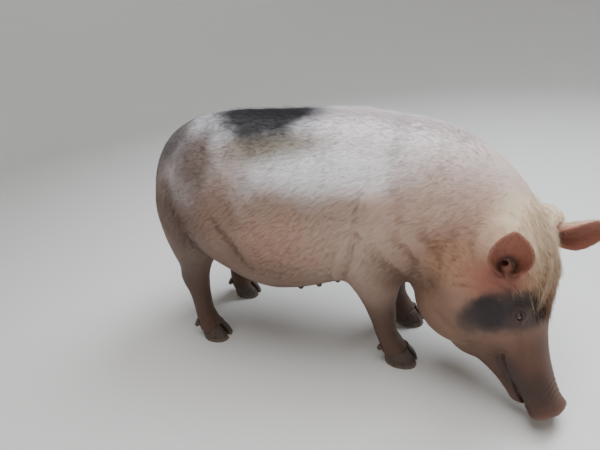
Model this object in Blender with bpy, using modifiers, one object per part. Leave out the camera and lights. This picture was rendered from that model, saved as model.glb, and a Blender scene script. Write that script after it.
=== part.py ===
"""A life-size sow that stands on four feet, her head turned to her right and lowered to the floor.

Metres, +Z up, +X the way the trunk faces, +Y the sow's left. The origin is on the floor,
under the middle of her.
"""

import math
from collections import namedtuple

import bmesh
import bpy
import numpy as np
from mathutils import Matrix, Vector

NAME = "sow"

# The sow's sides: the sign of Y and the word in the names.
SIDES = ((-1, "right"), (1, "left"))

# Clear space between two nodes that touch.
GAP = 0.0003

# Size of the grid that melts the forms of flesh into one, and how often its steps are eased.
MELT = 0.007
BODY_EASING = 26
FINE_EASING = 5
EASING_LEAST = 0.05

# Easing fades out down the lower legs, between two heights, and along the snout.
LEG_FADE = (0.24, 0.34)
SNOUT_FADE = (0.24, 0.08)

# Triangles of the whole flesh where it is cut for the body and legs, and for the head.
BODY_TRIANGLES = 7600
HEAD_TRIANGLES = 17000

# A section stands across an axis: its place, the heights of its top, widest line and bottom,
# half its width, and the power of its oval, 2 for an ellipse and more for a squarer one.
Section = namedtuple("Section", "at top level bottom half power")
TRUNK = (
    Section(-0.392, 0.545, 0.510, 0.475, 0.030, 2.0),
    Section(-0.385, 0.590, 0.500, 0.435, 0.078, 2.0),
    Section(-0.368, 0.627, 0.485, 0.400, 0.117, 2.0),
    Section(-0.335, 0.667, 0.475, 0.365, 0.152, 2.1),
    Section(-0.282, 0.702, 0.465, 0.335, 0.183, 2.1),
    Section(-0.220, 0.719, 0.460, 0.308, 0.201, 2.2),
    Section(-0.160, 0.724, 0.450, 0.264, 0.211, 2.2),
    Section(-0.100, 0.724, 0.445, 0.224, 0.218, 2.2),
    Section(-0.035, 0.722, 0.445, 0.206, 0.223, 2.2),
    Section(0.030, 0.721, 0.445, 0.211, 0.222, 2.2),
    Section(0.090, 0.720, 0.445, 0.227, 0.218, 2.2),
    Section(0.160, 0.719, 0.450, 0.252, 0.210, 2.2),
    Section(0.240, 0.714, 0.455, 0.262, 0.198, 2.2),
    Section(0.320, 0.698, 0.455, 0.258, 0.182, 2.1),
    Section(0.400, 0.658, 0.455, 0.262, 0.155, 2.0),
)

# Muscles and pads that round the lofts, each a middle and half sizes. Paired ones are the left one's.
Muscle = namedtuple("Muscle", "middle sizes")
BODY_PAIRS = (
    Muscle((0.265, 0.118, 0.480), (0.110, 0.078, 0.150)),
    Muscle((-0.264, 0.098, 0.480), (0.108, 0.090, 0.150)),
)
HEAD_MIDDLES = (
    Muscle((0.170, 0, -0.128), (0.110, 0.086, 0.072)),
    Muscle((0.095, 0, 0.056), (0.085, 0.080, 0.060)),
)
HEAD_PAIRS = (
    Muscle((0.110, 0.066, -0.100), (0.120, 0.076, 0.115)),
    Muscle((0.135, 0.074, -0.012), (0.070, 0.026, 0.034)),
)

# The head's own frame: its axis runs forward from between the ears, tipped down and turned.
HEAD_PLACE = Vector((0.536, -0.027, 0.399))
HEAD_YAW = math.radians(-46.7)
HEAD_PITCH = math.radians(52.2)
HEAD_ROLL = math.radians(-30.5)
SNOUT_TIP = 0.430
SNOUT_LEVEL = -0.031
HEAD = (
    Section(-0.060, 0.112, -0.055, -0.212, 0.135, 2.1),
    Section(0.000, 0.126, -0.058, -0.226, 0.142, 2.2),
    Section(0.050, 0.130, -0.058, -0.230, 0.142, 2.2),
    Section(0.100, 0.120, -0.058, -0.228, 0.137, 2.3),
    Section(0.140, 0.101, -0.060, -0.220, 0.127, 2.3),
    Section(0.180, 0.077, -0.064, -0.205, 0.112, 2.3),
    Section(0.220, 0.053, -0.064, -0.178, 0.096, 2.2),
    Section(0.260, 0.035, -0.056, -0.142, 0.080, 2.2),
    Section(0.300, 0.021, -0.044, -0.098, 0.069, 2.2),
    Section(0.340, 0.012, -0.034, -0.071, 0.061, 2.2),
    Section(0.380, 0.007, -0.031, -0.066, 0.054, 2.1),
    Section(0.408, 0.007, SNOUT_LEVEL, -0.067, 0.052, 2.1),
    Section(0.422, 0.012, SNOUT_LEVEL, -0.073, 0.056, 2.1),
    Section(SNOUT_TIP, 0.008, SNOUT_LEVEL, -0.069, 0.052, 2.1),
)
JAW = (
    Section(0.150, -0.100, -0.140, -0.180, 0.058, 2.0),
    Section(0.210, -0.080, -0.124, -0.178, 0.060, 2.0),
    Section(0.255, -0.062, -0.104, -0.157, 0.057, 2.0),
    Section(0.295, -0.056, -0.087, -0.129, 0.051, 2.1),
    Section(0.335, -0.056, -0.081, -0.111, 0.044, 2.1),
    Section(0.370, -0.058, -0.079, -0.102, 0.038, 2.1),
    Section(0.388, -0.063, -0.080, -0.096, 0.030, 2.1),
    Section(0.398, -0.070, -0.080, -0.090, 0.016, 2.0),
)

# A leg's rings are level; each is a height, its middle and its half sizes fore-and-aft and sideways.
Ring = namedtuple("Ring", "z x y along across")
FORELEG = (
    Ring(0.520, 0.236, 0.095, 0.080, 0.070),
    Ring(0.440, 0.242, 0.112, 0.098, 0.078),
    Ring(0.360, 0.250, 0.118, 0.094, 0.068),
    Ring(0.300, 0.260, 0.114, 0.076, 0.056),
    Ring(0.255, 0.268, 0.107, 0.060, 0.049),
    Ring(0.212, 0.272, 0.100, 0.047, 0.043),
    Ring(0.175, 0.278, 0.096, 0.041, 0.042),
    Ring(0.140, 0.281, 0.093, 0.035, 0.036),
    Ring(0.100, 0.287, 0.091, 0.033, 0.034),
    Ring(0.070, 0.299, 0.090, 0.036, 0.037),
    Ring(0.030, 0.313, 0.090, 0.037, 0.037),
)
HINDLEG = (
    Ring(0.600, -0.275, 0.086, 0.070, 0.064),
    Ring(0.500, -0.268, 0.104, 0.100, 0.084),
    Ring(0.410, -0.265, 0.114, 0.094, 0.082),
    Ring(0.345, -0.271, 0.121, 0.075, 0.066),
    Ring(0.305, -0.279, 0.124, 0.058, 0.053),
    Ring(0.265, -0.294, 0.126, 0.051, 0.043),
    Ring(0.235, -0.300, 0.125, 0.046, 0.040),
    Ring(0.195, -0.300, 0.123, 0.036, 0.035),
    Ring(0.150, -0.303, 0.121, 0.032, 0.032),
    Ring(0.100, -0.306, 0.119, 0.032, 0.032),
    Ring(0.070, -0.303, 0.118, 0.036, 0.036),
    Ring(0.030, -0.295, 0.118, 0.037, 0.037),
)

# Each foot is cut off at the coronet, a plane that rises forward; two claws stand below it.
CORONET_HEIGHT = 0.040
CORONET_RISE = math.radians(14)
CLAW_FORWARD = 0.010
CLAW_HEEL = -0.042
# Rings of a claw from its sole up: share of its height, where its toe ends, share of its width.
CLAW_RINGS = ((0.0, 0.052, 1.0), (0.4, 0.045, 0.99), (1.0, 0.025, 0.93))
CLAW_WIDTH = 0.036
CLAW_SPLAY = math.radians(3)
CLAW_CLEFT = 0.004
CLAW_ROUNDNESS = 0.75
DEWCLAW_LENGTH = 0.030
DEWCLAW_RADIUS = 0.012
DEWCLAW_HEIGHT = 0.070
DEWCLAW_SPREAD = 0.019
DEWCLAW_SUNK = 0.006
DEWCLAW_TAPER = 0.6
DEWCLAW_LEAN = Vector((-0.60, 0.22, -0.78))

# The ear is a leaf rolled about its midrib. Directions are in the head's frame, for the right side.
EAR_LENGTH = 0.160
EAR_WIDTH = 0.120
EAR_THICKNESS = 0.005
EAR_ROOT_ROLL = math.radians(150)
EAR_TIP_ROLL = math.radians(38)
Lie = namedtuple("Lie", "root along opening base")
EAR_LIE = {
    "right": Lie(
        root=Vector((0.058, -0.100, 0.054)),
        along=Vector((-0.45, -0.72, 0.52)),
        opening=Vector((0.60, -0.75, 0.00)),
        base=Vector((0.034, -0.096, 0.062)),
    ),
    "left": Lie(
        root=Vector((0.030, -0.105, 0.097)),
        along=Vector((0.27, -0.65, 0.70)),
        opening=Vector((0.67, 0.66, 0.33)),
        base=Vector((0.008, -0.124, 0.114)),
    ),
}
EAR_BASE_RADIUS = 0.033
EAR_MOUND_RADIUS = 0.052
CANAL_RADIUS = 0.009
CANAL_DEPTH = 0.036
EAR_SUNK = 0.16
EAR_ROOT_SHARE = 0.24
EAR_FULLNESS = 0.85
EAR_UNROLLING = 0.6
EAR_CURL = 0.018
EAR_LEAST_SHARE = 0.05

# Eyes, in the head's frame, right side.
EYE_RADIUS = 0.0125
EYE_PLACE = Vector((0.178, -0.0830, 0.026))
EYE_LOOK = Vector((0.32, -0.92, 0.22))
LID_LENGTH = 0.0100
LID_HEIGHT = 0.0056
LID_RISE = 1.3
LID_SWELLING = (0.030, 0.022, 0.0175)
LID_SLOPE = Vector((0.92, 0.0, -0.30))

NOSTRIL_SPREAD = 0.017
NOSTRIL_HALF_WIDTH = 0.0070
NOSTRIL_HALF_HEIGHT = 0.0090
NOSTRIL_DEPTH = 0.026
NOSTRIL_TAPER = 0.45
NOSTRIL_SUNK = 0.008
NOSTRIL_RISE = 0.002

MOUTH_CORNER = Vector((0.276, 0.0, -0.053))
MOUTH_FRONT = Vector((0.400, 0.0, -0.069))
MOUTH_SAG = 0.004
MOUTH_REACH = 0.09
MOUTH_GAPS = ((-0.02, 0.0008), (0.12, 0.0022), (0.55, 0.0050), (1.30, 0.0070))

TAIL_ROUTE = (
    Vector((-0.330, 0.000, 0.630)),
    Vector((-0.378, 0.003, 0.624)),
    Vector((-0.404, 0.012, 0.578)),
    Vector((-0.409, 0.022, 0.520)),
    Vector((-0.402, 0.026, 0.462)),
    Vector((-0.388, 0.014, 0.415)),
)
TAIL_ROOT_RADIUS = 0.019
TAIL_TIP_RADIUS = 0.006

# Where the flesh is parted: a point on each plane and the way it faces, and a block for each leg.
HEAD_CUT = (Vector((0.492, -0.055, 0.360)), Vector((0.80, -0.417, -0.434)))
NECK_CUT = (Vector((0.382, 0.0, 0.460)), Vector((0.975, 0.0, -0.22)))
LegCut = namedtuple("LegCut", "middle down length width")
LEG_CUTS = {
    "foreleg": LegCut(Vector((0.258, 0.130, 0.305)), Vector((0.10, -0.20, -1.0)), 0.160, 0.190),
    "hindleg": LegCut(Vector((-0.285, 0.140, 0.340)), Vector((-0.10, -0.20, -1.0)), 0.230, 0.200),
}
LEG_REACH = 0.50

Colour = namedtuple("Colour", "rgb roughness")
COAT = Colour((0.62, 0.50, 0.42), 0.75)
DIRTY = Colour((0.20, 0.14, 0.10), 0.80)
EAR_SKIN = Colour((0.55, 0.27, 0.20), 0.60)
EYE_WET = Colour((0.03, 0.02, 0.015), 0.08)
HORN = Colour((0.12, 0.09, 0.07), 0.55)


def head_frame():
    """The head's own frame: X towards the snout, Y to its left, Z out of the forehead."""
    turn = (
        Matrix.Rotation(HEAD_YAW, 4, "Z")
        @ Matrix.Rotation(HEAD_PITCH, 4, "Y")
        @ Matrix.Rotation(HEAD_ROLL, 4, "X")
    )
    return Matrix.Translation(HEAD_PLACE) @ turn


def eased(rows, samples):
    """Rows of numbers, the first a distance, resampled along a smooth curve through them."""
    rows = np.array(rows, float)
    at = rows[:, 0]
    slope = np.gradient(rows, at, axis=0)
    wanted = np.linspace(at[0], at[-1], samples)
    i = np.clip(np.searchsorted(at, wanted) - 1, 0, len(at) - 2)
    span = (at[i + 1] - at[i])[:, None]
    t = (wanted - at[i])[:, None] / span
    return (
        (2 * t**3 - 3 * t**2 + 1) * rows[i]
        + (t**3 - 2 * t**2 + t) * span * slope[i]
        + (3 * t**2 - 2 * t**3) * rows[i + 1]
        + (t**3 - t**2) * span * slope[i + 1]
    )


def oval(section, sides):
    """Points round a section, each sideways and up in its own plane."""
    _, top, level, bottom, half, power = section
    turn = np.arange(sides) * 2 * math.pi / sides
    across = np.sign(np.cos(turn)) * np.abs(np.cos(turn)) ** (2 / power) * half
    rise = np.sign(np.sin(turn)) * np.abs(np.sin(turn)) ** (2 / power)
    height = level + np.where(rise > 0, rise * (top - level), rise * (level - bottom))
    return [Vector((0, y, z)) for y, z in zip(across, height)]


def loft(rings):
    """A closed mesh through rings that have the same number of points."""
    made = bmesh.new()
    rows = [[made.verts.new(point) for point in ring] for ring in rings]
    for a, b in zip(rows, rows[1:]):
        for i in range(len(a)):
            j = (i + 1) % len(a)
            made.faces.new((a[i], a[j], b[j], b[i]))
    made.faces.new(reversed(rows[0]))
    made.faces.new(rows[-1])
    bmesh.ops.recalc_face_normals(made, faces=made.faces)
    return made


def section_loft(rows, frame, samples=50, sides=48):
    """A loft along the X axis of a frame."""
    rings = []
    for row in eased(rows, samples):
        place = frame @ Matrix.Translation((row[0], 0, 0))
        rings.append([place @ point for point in oval(row, sides)])
    return loft(rings)


def neck_loft(samples=14, sides=48):
    """The neck bends from the last section of the trunk to the first ones of the head."""
    head = head_frame()
    first, last = np.array(TRUNK[-2]), np.array(HEAD[2])
    start = Matrix.Translation((first[0], 0, 0))
    end = head @ Matrix.Translation((last[0], 0, 0))
    a = start @ Vector((0, 0, first[2]))
    d = end @ Vector((0, 0, last[2]))
    reach = (d - a).length * 0.4
    b = a + Vector((reach, 0, 0))
    c = d - end.to_3x3() @ Vector((reach, 0, 0))
    rings = []
    for k in range(samples + 1):
        t = k / samples
        place = (1 - t) ** 3 * a + 3 * (1 - t) ** 2 * t * b + 3 * (1 - t) * t * t * c + t**3 * d
        turn = start.to_quaternion().slerp(end.to_quaternion(), t).to_matrix().to_4x4()
        section = first * (1 - t) + last * t
        section[1:4] -= section[2]
        rings.append([Matrix.Translation(place) @ turn @ point for point in oval(section, sides)])
    return loft(rings)


def leg_loft(rows, side, sides=32):
    turn = np.arange(sides) * 2 * math.pi / sides
    rings = []
    for z, x, y, along, across in eased(sorted(rows), 44):
        rings.append([Vector((x + along * math.cos(a), side * y + across * math.sin(a), z)) for a in turn])
    return loft(rings)


def ball(place, sizes, frame=Matrix.Identity(4), detail=3):
    """An ellipsoid with its half sizes along the axes of a frame."""
    made = bmesh.new()
    matrix = frame @ Matrix.Translation(place) @ Matrix.Diagonal((*sizes, 1))
    bmesh.ops.create_icosphere(made, subdivisions=detail, radius=1, matrix=matrix)
    return made


def block(centre, sizes, frame=Matrix.Identity(4)):
    made = bmesh.new()
    matrix = frame @ Matrix.Translation(centre) @ Matrix.Diagonal((*sizes, 1))
    bmesh.ops.create_cube(made, size=1, matrix=matrix)
    return made


def mesh_of(made, name="form"):
    mesh = bpy.data.meshes.new(name)
    made.to_mesh(mesh)
    made.free()
    return mesh


def placed(name, made, collection=None):
    """An object for a mesh or a bmesh, linked so that its modifiers can be read."""
    mesh = made if isinstance(made, bpy.types.Mesh) else mesh_of(made, name)
    obj = bpy.data.objects.new(name, mesh)
    (collection or bpy.context.scene.collection).objects.link(obj)
    return obj


def settled(obj):
    """Apply an object's modifiers to its mesh."""
    bpy.context.view_layer.update()
    mesh = bpy.data.meshes.new_from_object(obj.evaluated_get(bpy.context.evaluated_depsgraph_get()))
    obj.modifiers.clear()
    obj.data = mesh
    return obj


def removed(*objects):
    for obj in objects:
        bpy.data.objects.remove(obj)


def copied(obj, name):
    return placed(name, obj.data.copy())


def largest(obj):
    """Keep only the largest closed surface of a mesh."""
    made = bmesh.new()
    made.from_mesh(obj.data)
    left = set(made.verts)
    shells = []
    while left:
        seed = left.pop()
        shell = {seed}
        front = [seed]
        while front:
            for edge in front.pop().link_edges:
                for vert in edge.verts:
                    if vert in left:
                        left.discard(vert)
                        shell.add(vert)
                        front.append(vert)
        shells.append(shell)
    shells.sort(key=len)
    for shell in shells[:-1]:
        bmesh.ops.delete(made, geom=list(shell), context="VERTS")
    made.to_mesh(obj.data)
    made.free()
    return obj


def combined(obj, other, operation, solver="EXACT"):
    """Boolean of an object with another closed one, which is used up."""
    cut = obj.modifiers.new("cut", "BOOLEAN")
    cut.operation = operation
    cut.solver = solver
    cut.object = other
    settled(obj)
    removed(other)
    return largest(obj)


def grown(obj, amount=GAP):
    """A copy of an object that is larger all round by an amount."""
    made = bmesh.new()
    made.from_mesh(obj.data)
    made.normal_update()
    moves = [(vert, vert.normal * amount * vert.calc_shell_factor()) for vert in made.verts]
    for vert, move in moves:
        vert.co += move
    return placed(obj.name + "_grown", made)


def fitted(obj, neighbour):
    """Cut an object back so that it meets its neighbour face to face."""
    return combined(obj, grown(neighbour), "DIFFERENCE", "MANIFOLD")


def ear_base(side, head):
    """The muscle an ear stands on: a ball at its root and a mound that carries it."""
    base = EAR_LIE[dict(SIDES)[side]].base * Vector((1, -side, 1))
    return [
        ball(base, (EAR_BASE_RADIUS,) * 3, head),
        ball(base * 0.78, (EAR_MOUND_RADIUS,) * 3, head),
    ]


def flesh_forms():
    """All the forms of flesh, still apart: trunk, neck, head, legs and the muscles over them."""
    head = head_frame()
    forms = [
        section_loft(TRUNK, Matrix.Identity(4)),
        neck_loft(),
        section_loft(HEAD, head),
        section_loft(JAW, head, samples=24, sides=32),
    ]
    forms += [ball(muscle.middle, muscle.sizes, head) for muscle in HEAD_MIDDLES]
    for side in (-1, 1):
        mirror = Vector((1, side, 1))
        forms += [ball(Vector(muscle.middle) * mirror, muscle.sizes) for muscle in BODY_PAIRS]
        forms += [ball(Vector(muscle.middle) * mirror, muscle.sizes, head) for muscle in HEAD_PAIRS]
        forms += [
            leg_loft(FORELEG, side),
            leg_loft(HINDLEG, side),
            *ear_base(side, head),
            ball((0, 0, 0), LID_SWELLING, eye_frame(side)),
        ]
    return forms


def share_between(limits, value):
    """How far a value has come from one limit to the other, never under the least easing."""
    start, end = limits
    return min(1.0, max(EASING_LEAST, (value - start) / (end - start)))


def melted(forms):
    """One skin of flesh round all the forms, its steps eased, less so on the head and lower legs."""
    whole = bmesh.new()
    for form in forms:
        whole.from_mesh(mesh_of(form))
    flesh = placed("flesh", whole)
    remesh = flesh.modifiers.new("melt", "REMESH")
    remesh.mode = "VOXEL"
    remesh.voxel_size = MELT
    settled(flesh)
    easing = flesh.vertex_groups.new(name="easing")
    into_head = head_frame().inverted()
    for vert in flesh.data.vertices:
        forward = (into_head @ vert.co).x
        weight = min(share_between(LEG_FADE, vert.co.z), share_between(SNOUT_FADE, forward))
        easing.add([vert.index], weight, "REPLACE")
    smooth = flesh.modifiers.new("ease", "SMOOTH")
    smooth.factor = 0.6
    smooth.iterations = BODY_EASING
    smooth.vertex_group = "easing"
    last = flesh.modifiers.new("finish", "SMOOTH")
    last.factor = 0.5
    last.iterations = FINE_EASING
    return settled(flesh)


def thinned(obj, name, triangles):
    """A copy of an object with fewer triangles."""
    copy = copied(obj, name)
    made = bmesh.new()
    made.from_mesh(copy.data)
    bmesh.ops.triangulate(made, faces=made.faces)
    made.to_mesh(copy.data)
    made.free()
    thin = copy.modifiers.new("thin", "DECIMATE")
    thin.ratio = triangles / len(copy.data.polygons)
    return largest(settled(copy))


def half_space(cut, gap=0.0, size=1.4):
    """A large block on the far side of a plane, its near face on the plane or a gap before it."""
    point, direction = cut
    x = direction.normalized()
    y = Vector((0, 0, 1)).cross(x).normalized()
    frame = Matrix((x, y, x.cross(y))).transposed().to_4x4()
    frame.translation = point - x * gap
    return placed("cut", block((size / 2, 0, 0), (size, size, size), frame))


def leg_space(kind, side, gap=0.0):
    """A block that holds one lower leg, its top on a slanting plane through the joint."""
    cut = LEG_CUTS[kind]
    point = Vector((cut.middle.x, side * cut.middle.y, cut.middle.z))
    down = Vector((cut.down.x, side * cut.down.y, cut.down.z)).normalized()
    x = Vector((1, 0, 0))
    x = (x - down * x.dot(down)).normalized()
    frame = Matrix((x, (-down).cross(x), -down)).transposed().to_4x4()
    frame.translation = point
    grow = 2 * gap
    made = block((0, 0, gap - LEG_REACH / 2), (cut.length + grow, cut.width + grow, LEG_REACH), frame)
    return placed("leg_space", made)


def coronet(x, y, length=0.30, width=0.16, depth=0.20):
    """A block below the coronet of a foot, at the foot's place on the floor."""
    frame = Matrix.Translation((x, y, CORONET_HEIGHT)) @ Matrix.Rotation(-CORONET_RISE, 4, "Y")
    return placed("coronet", block((0, 0, -depth / 2), (length, width, depth), frame))


def claw(x, y, inner, points=9):
    """One claw: a flat inner wall, a round outer wall and a pointed toe, on a flat sole."""
    place = Matrix.Translation((x + CLAW_FORWARD, y, 0)) @ Matrix.Rotation(inner * CLAW_SPLAY, 4, "Z")
    lift = math.tan(CORONET_RISE)
    rings = []
    for share, toe, width in CLAW_RINGS:
        ring = []
        for k in range(points):
            turn = math.pi * k / (points - 1)
            along = CLAW_HEEL + (toe - CLAW_HEEL) * (1 - math.cos(turn)) / 2
            out = CLAW_CLEFT + CLAW_WIDTH * width * math.sin(turn) ** CLAW_ROUNDNESS
            point = place @ Vector((along, inner * out, 0))
            point.z = share * (CORONET_HEIGHT + (point.x - x) * lift - 2 * GAP)
            ring.append(point)
        rings.append(ring if inner > 0 else ring[::-1])
    return loft(rings)


def dewclaw(rows, side, inner):
    """A small blunt cone behind the foot, its root sunk in the leg."""
    ring = next(row for row in rows if row.z < DEWCLAW_HEIGHT)
    back = ring.x - ring.along + DEWCLAW_SUNK
    root = Vector((back, side * ring.y + inner * DEWCLAW_SPREAD, DEWCLAW_HEIGHT))
    down = (DEWCLAW_LEAN * Vector((1, inner, 1))).normalized()
    turn = down.to_track_quat("Z", "Y").to_matrix().to_4x4()
    made = bmesh.new()
    bmesh.ops.create_cone(
        made, cap_ends=True, segments=10, radius1=DEWCLAW_RADIUS, radius2=DEWCLAW_RADIUS * DEWCLAW_TAPER,
        depth=DEWCLAW_LENGTH, matrix=Matrix.Translation(root + down * DEWCLAW_LENGTH / 3) @ turn,
    )
    return made


def ear_leaf(side, rows=13, columns=11):
    """The ear's shell in the head's frame, a leaf rolled about its midrib and thickened."""
    lie = EAR_LIE[dict(SIDES)[side]]
    mirror = Vector((1, -side, 1))
    along = lie.along.normalized()
    opening = (lie.opening - along * lie.opening.dot(along)).normalized()
    width = along.cross(opening)
    made = bmesh.new()
    grid = []
    for i in range(rows):
        t = -EAR_SUNK + (1 + EAR_SUNK) * i / (rows - 1)
        free = max(t, 0.0)
        swell = math.sin(math.pi * (EAR_ROOT_SHARE + (1 - EAR_ROOT_SHARE) * free))
        half = EAR_WIDTH / 2 * max(EAR_LEAST_SHARE, max(swell, 0.0) ** EAR_FULLNESS)
        roll = EAR_ROOT_ROLL + (EAR_TIP_ROLL - EAR_ROOT_ROLL) * free**EAR_UNROLLING
        radius = half / roll
        row = []
        for j in range(columns):
            a = roll * (2 * j / (columns - 1) - 1)
            point = lie.root + along * EAR_LENGTH * t
            point += width * radius * math.sin(a)
            point += opening * (radius * (1 - math.cos(a)) + EAR_CURL * t * t)
            row.append(made.verts.new(point * mirror))
        grid.append(row)
    for a, b in zip(grid, grid[1:]):
        for j in range(columns - 1):
            made.faces.new((a[j], a[j + 1], b[j + 1], b[j]))
    bmesh.ops.triangulate(made, faces=made.faces)
    bmesh.ops.recalc_face_normals(made, faces=made.faces)
    leaf = placed("leaf", made)
    thick = leaf.modifiers.new("thick", "SOLIDIFY")
    thick.thickness = EAR_THICKNESS
    thick.offset = 0.0
    settled(leaf)
    leaf.data.transform(head_frame())
    return leaf


def eye_frame(side):
    """The frame of an eye: X along its lids, Y across them, Z out of the head."""
    mirror = Vector((1, -side, 1))
    out = (EYE_LOOK * mirror).normalized()
    lids = (LID_SLOPE - out * LID_SLOPE.dot(out)).normalized()
    frame = Matrix((lids, out.cross(lids), out)).transposed().to_4x4()
    frame.translation = EYE_PLACE * mirror
    return head_frame() @ frame


def mouth_wedge():
    """A thin wedge that opens forward from the corners of the mouth."""
    line = MOUTH_FRONT - MOUTH_CORNER
    sideways = Vector((0, MOUTH_REACH, 0))
    normal = line.cross(sideways).normalized()
    rings = []
    for t, opening in MOUTH_GAPS:
        sag = MOUTH_SAG * math.sin(math.pi * min(max(t, 0), 1))
        middle = MOUTH_CORNER + line * t - normal * sag
        corners = ((-1, -1), (1, -1), (1, 1), (-1, 1))
        rings.append([middle + sideways * y + normal * z * opening / 2 for y, z in corners])
    wedge = loft(rings)
    bmesh.ops.transform(wedge, matrix=head_frame(), verts=wedge.verts)
    return placed("mouth", wedge)


def nostril(side):
    """A tapering hole in the disc of the snout."""
    place = Matrix.Translation((SNOUT_TIP - NOSTRIL_SUNK, side * NOSTRIL_SPREAD, SNOUT_LEVEL + NOSTRIL_RISE))
    turn = Matrix.Rotation(math.radians(90), 4, "Y")
    shape = Matrix.Diagonal((NOSTRIL_HALF_HEIGHT, NOSTRIL_HALF_WIDTH, 1, 1))
    made = bmesh.new()
    bmesh.ops.create_cone(
        made, cap_ends=True, segments=14, radius1=NOSTRIL_TAPER, radius2=1.0, depth=NOSTRIL_DEPTH,
        matrix=head_frame() @ place @ turn @ shape,
    )
    return placed("nostril", made)


def head_node(flesh):
    """The head in front of its cut, with the sockets, lids, nostrils, ear canals and mouth cut in."""
    head = combined(flesh, half_space(HEAD_CUT), "INTERSECT")
    for side, word in SIDES:
        socket = placed("socket", ball((0, 0, 0), [EYE_RADIUS + 2 * GAP] * 3, eye_frame(side)))
        rise = EYE_RADIUS * LID_RISE
        opening = ball((0, 0, rise), (LID_LENGTH, LID_HEIGHT, rise), eye_frame(side))
        combined(socket, placed("opening", opening), "UNION")
        combined(head, socket, "DIFFERENCE")
        combined(head, nostril(side), "DIFFERENCE")
        canal = EAR_LIE[word].root * Vector((1, -side, 1))
        sizes = (CANAL_RADIUS, CANAL_DEPTH, CANAL_RADIUS)
        combined(head, placed("canal", ball(canal, sizes, head_frame(), 2)), "DIFFERENCE")
    combined(head, mouth_wedge(), "DIFFERENCE")
    head.name = "head"
    return head


def tail_node(torso):
    """A tube along a curve, thinning to its tip, rooted in the torso."""
    curve = bpy.data.curves.new("tail", "CURVE")
    curve.dimensions = "3D"
    curve.bevel_depth = 1.0
    curve.bevel_resolution = 2
    curve.use_fill_caps = True
    curve.resolution_u = 4
    spline = curve.splines.new("NURBS")
    spline.points.add(len(TAIL_ROUTE) - 1)
    spline.use_endpoint_u = True
    spline.order_u = 4
    for k, point in enumerate(TAIL_ROUTE):
        t = k / (len(TAIL_ROUTE) - 1)
        spline.points[k].co = (*point, 1)
        spline.points[k].radius = TAIL_ROOT_RADIUS + (TAIL_TIP_RADIUS - TAIL_ROOT_RADIUS) * t**0.7
    route = bpy.data.objects.new("tail_route", curve)
    bpy.context.scene.collection.objects.link(route)
    bpy.context.view_layer.update()
    mesh = bpy.data.meshes.new_from_object(route.evaluated_get(bpy.context.evaluated_depsgraph_get()))
    removed(route)
    made = bmesh.new()
    made.from_mesh(mesh)
    bmesh.ops.remove_doubles(made, verts=made.verts, dist=0.00005)
    bmesh.ops.recalc_face_normals(made, faces=made.faces)
    tail = placed("tail", made)
    return fitted(tail, torso)


def painted(obj, colour):
    material = bpy.data.materials.new(obj.name)
    material.use_nodes = True
    shader = material.node_tree.nodes["Principled BSDF"]
    shader.inputs["Base Color"].default_value = (*colour.rgb, 1)
    shader.inputs["Roughness"].default_value = colour.roughness
    obj.data.materials.clear()
    obj.data.materials.append(material)
    obj.data.shade_smooth()
    obj.data.set_sharp_from_angle(angle=math.radians(40))
    return obj


def main():
    for old in list(bpy.data.objects):
        bpy.data.objects.remove(old)
    flesh = melted(flesh_forms())
    body = thinned(flesh, "body", BODY_TRIANGLES)
    fine = thinned(flesh, "fine", HEAD_TRIANGLES)
    removed(flesh)
    nodes = {}

    nodes["head"] = painted(head_node(copied(fine, "head")), COAT)
    neck = combined(copied(body, "neck"), half_space(NECK_CUT), "INTERSECT")
    combined(neck, half_space(HEAD_CUT, GAP), "DIFFERENCE")

    torso = combined(copied(body, "torso"), half_space(NECK_CUT, GAP), "DIFFERENCE")
    for kind, rows in (("foreleg", FORELEG), ("hindleg", HINDLEG)):
        for side, word in SIDES:
            name = kind + "_" + word
            leg = combined(copied(body, name), leg_space(kind, side), "INTERSECT")
            combined(torso, leg_space(kind, side, GAP), "DIFFERENCE")
            combined(neck, leg_space(kind, side, GAP), "DIFFERENCE")
            x, y = rows[-1].x, side * rows[-1].y
            combined(leg, coronet(x, y), "DIFFERENCE")
            for inner, digit in ((-side, "inner"), (side, "outer")):
                toe = placed(name + "_claw_" + digit, claw(x, y, inner))
                nodes[toe.name] = painted(toe, HORN)
                spur = placed(name + "_dewclaw_" + digit, dewclaw(rows, side, inner))
                nodes[spur.name] = painted(fitted(spur, leg), HORN)
            nodes[name] = painted(leg, DIRTY)
    nodes["neck"] = painted(neck, COAT)
    nodes["torso"] = painted(torso, COAT)
    nodes["tail"] = painted(tail_node(torso), COAT)
    for side, word in SIDES:
        ear = ear_leaf(side)
        ear.name = "ear_" + word
        nodes[ear.name] = painted(fitted(ear, nodes["head"]), EAR_SKIN)
        eye = placed("eye_" + word, ball((0, 0, 0), [EYE_RADIUS] * 3, eye_frame(side), 3))
        nodes[eye.name] = painted(eye, EYE_WET)
    removed(body, fine)

    corners = [vert.co for obj in nodes.values() for vert in obj.data.vertices]
    low = [min(corner[i] for corner in corners) for i in range(3)]
    high = [max(corner[i] for corner in corners) for i in range(3)]
    shift = Matrix.Translation((-(low[0] + high[0]) / 2, -(low[1] + high[1]) / 2, -low[2]))
    collection = bpy.data.collections.new(NAME)
    bpy.context.scene.collection.children.link(collection)
    for obj in nodes.values():
        obj.data.transform(shift)
        bpy.context.scene.collection.objects.unlink(obj)
        collection.objects.link(obj)


main()
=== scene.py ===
"""Looks of a life-size sow: one skin, lids, eyes, claws, a short coat of tufts, and a studio floor.

Metres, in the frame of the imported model. Places on the sow are measured from START, the point on
the floor that her trunk is measured from, or in her head's own frame.
"""

import math

import bmesh
import bpy
import numpy as np
from mathutils import Matrix, Vector, kdtree, noise
from mathutils.bvhtree import BVHTree


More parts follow.
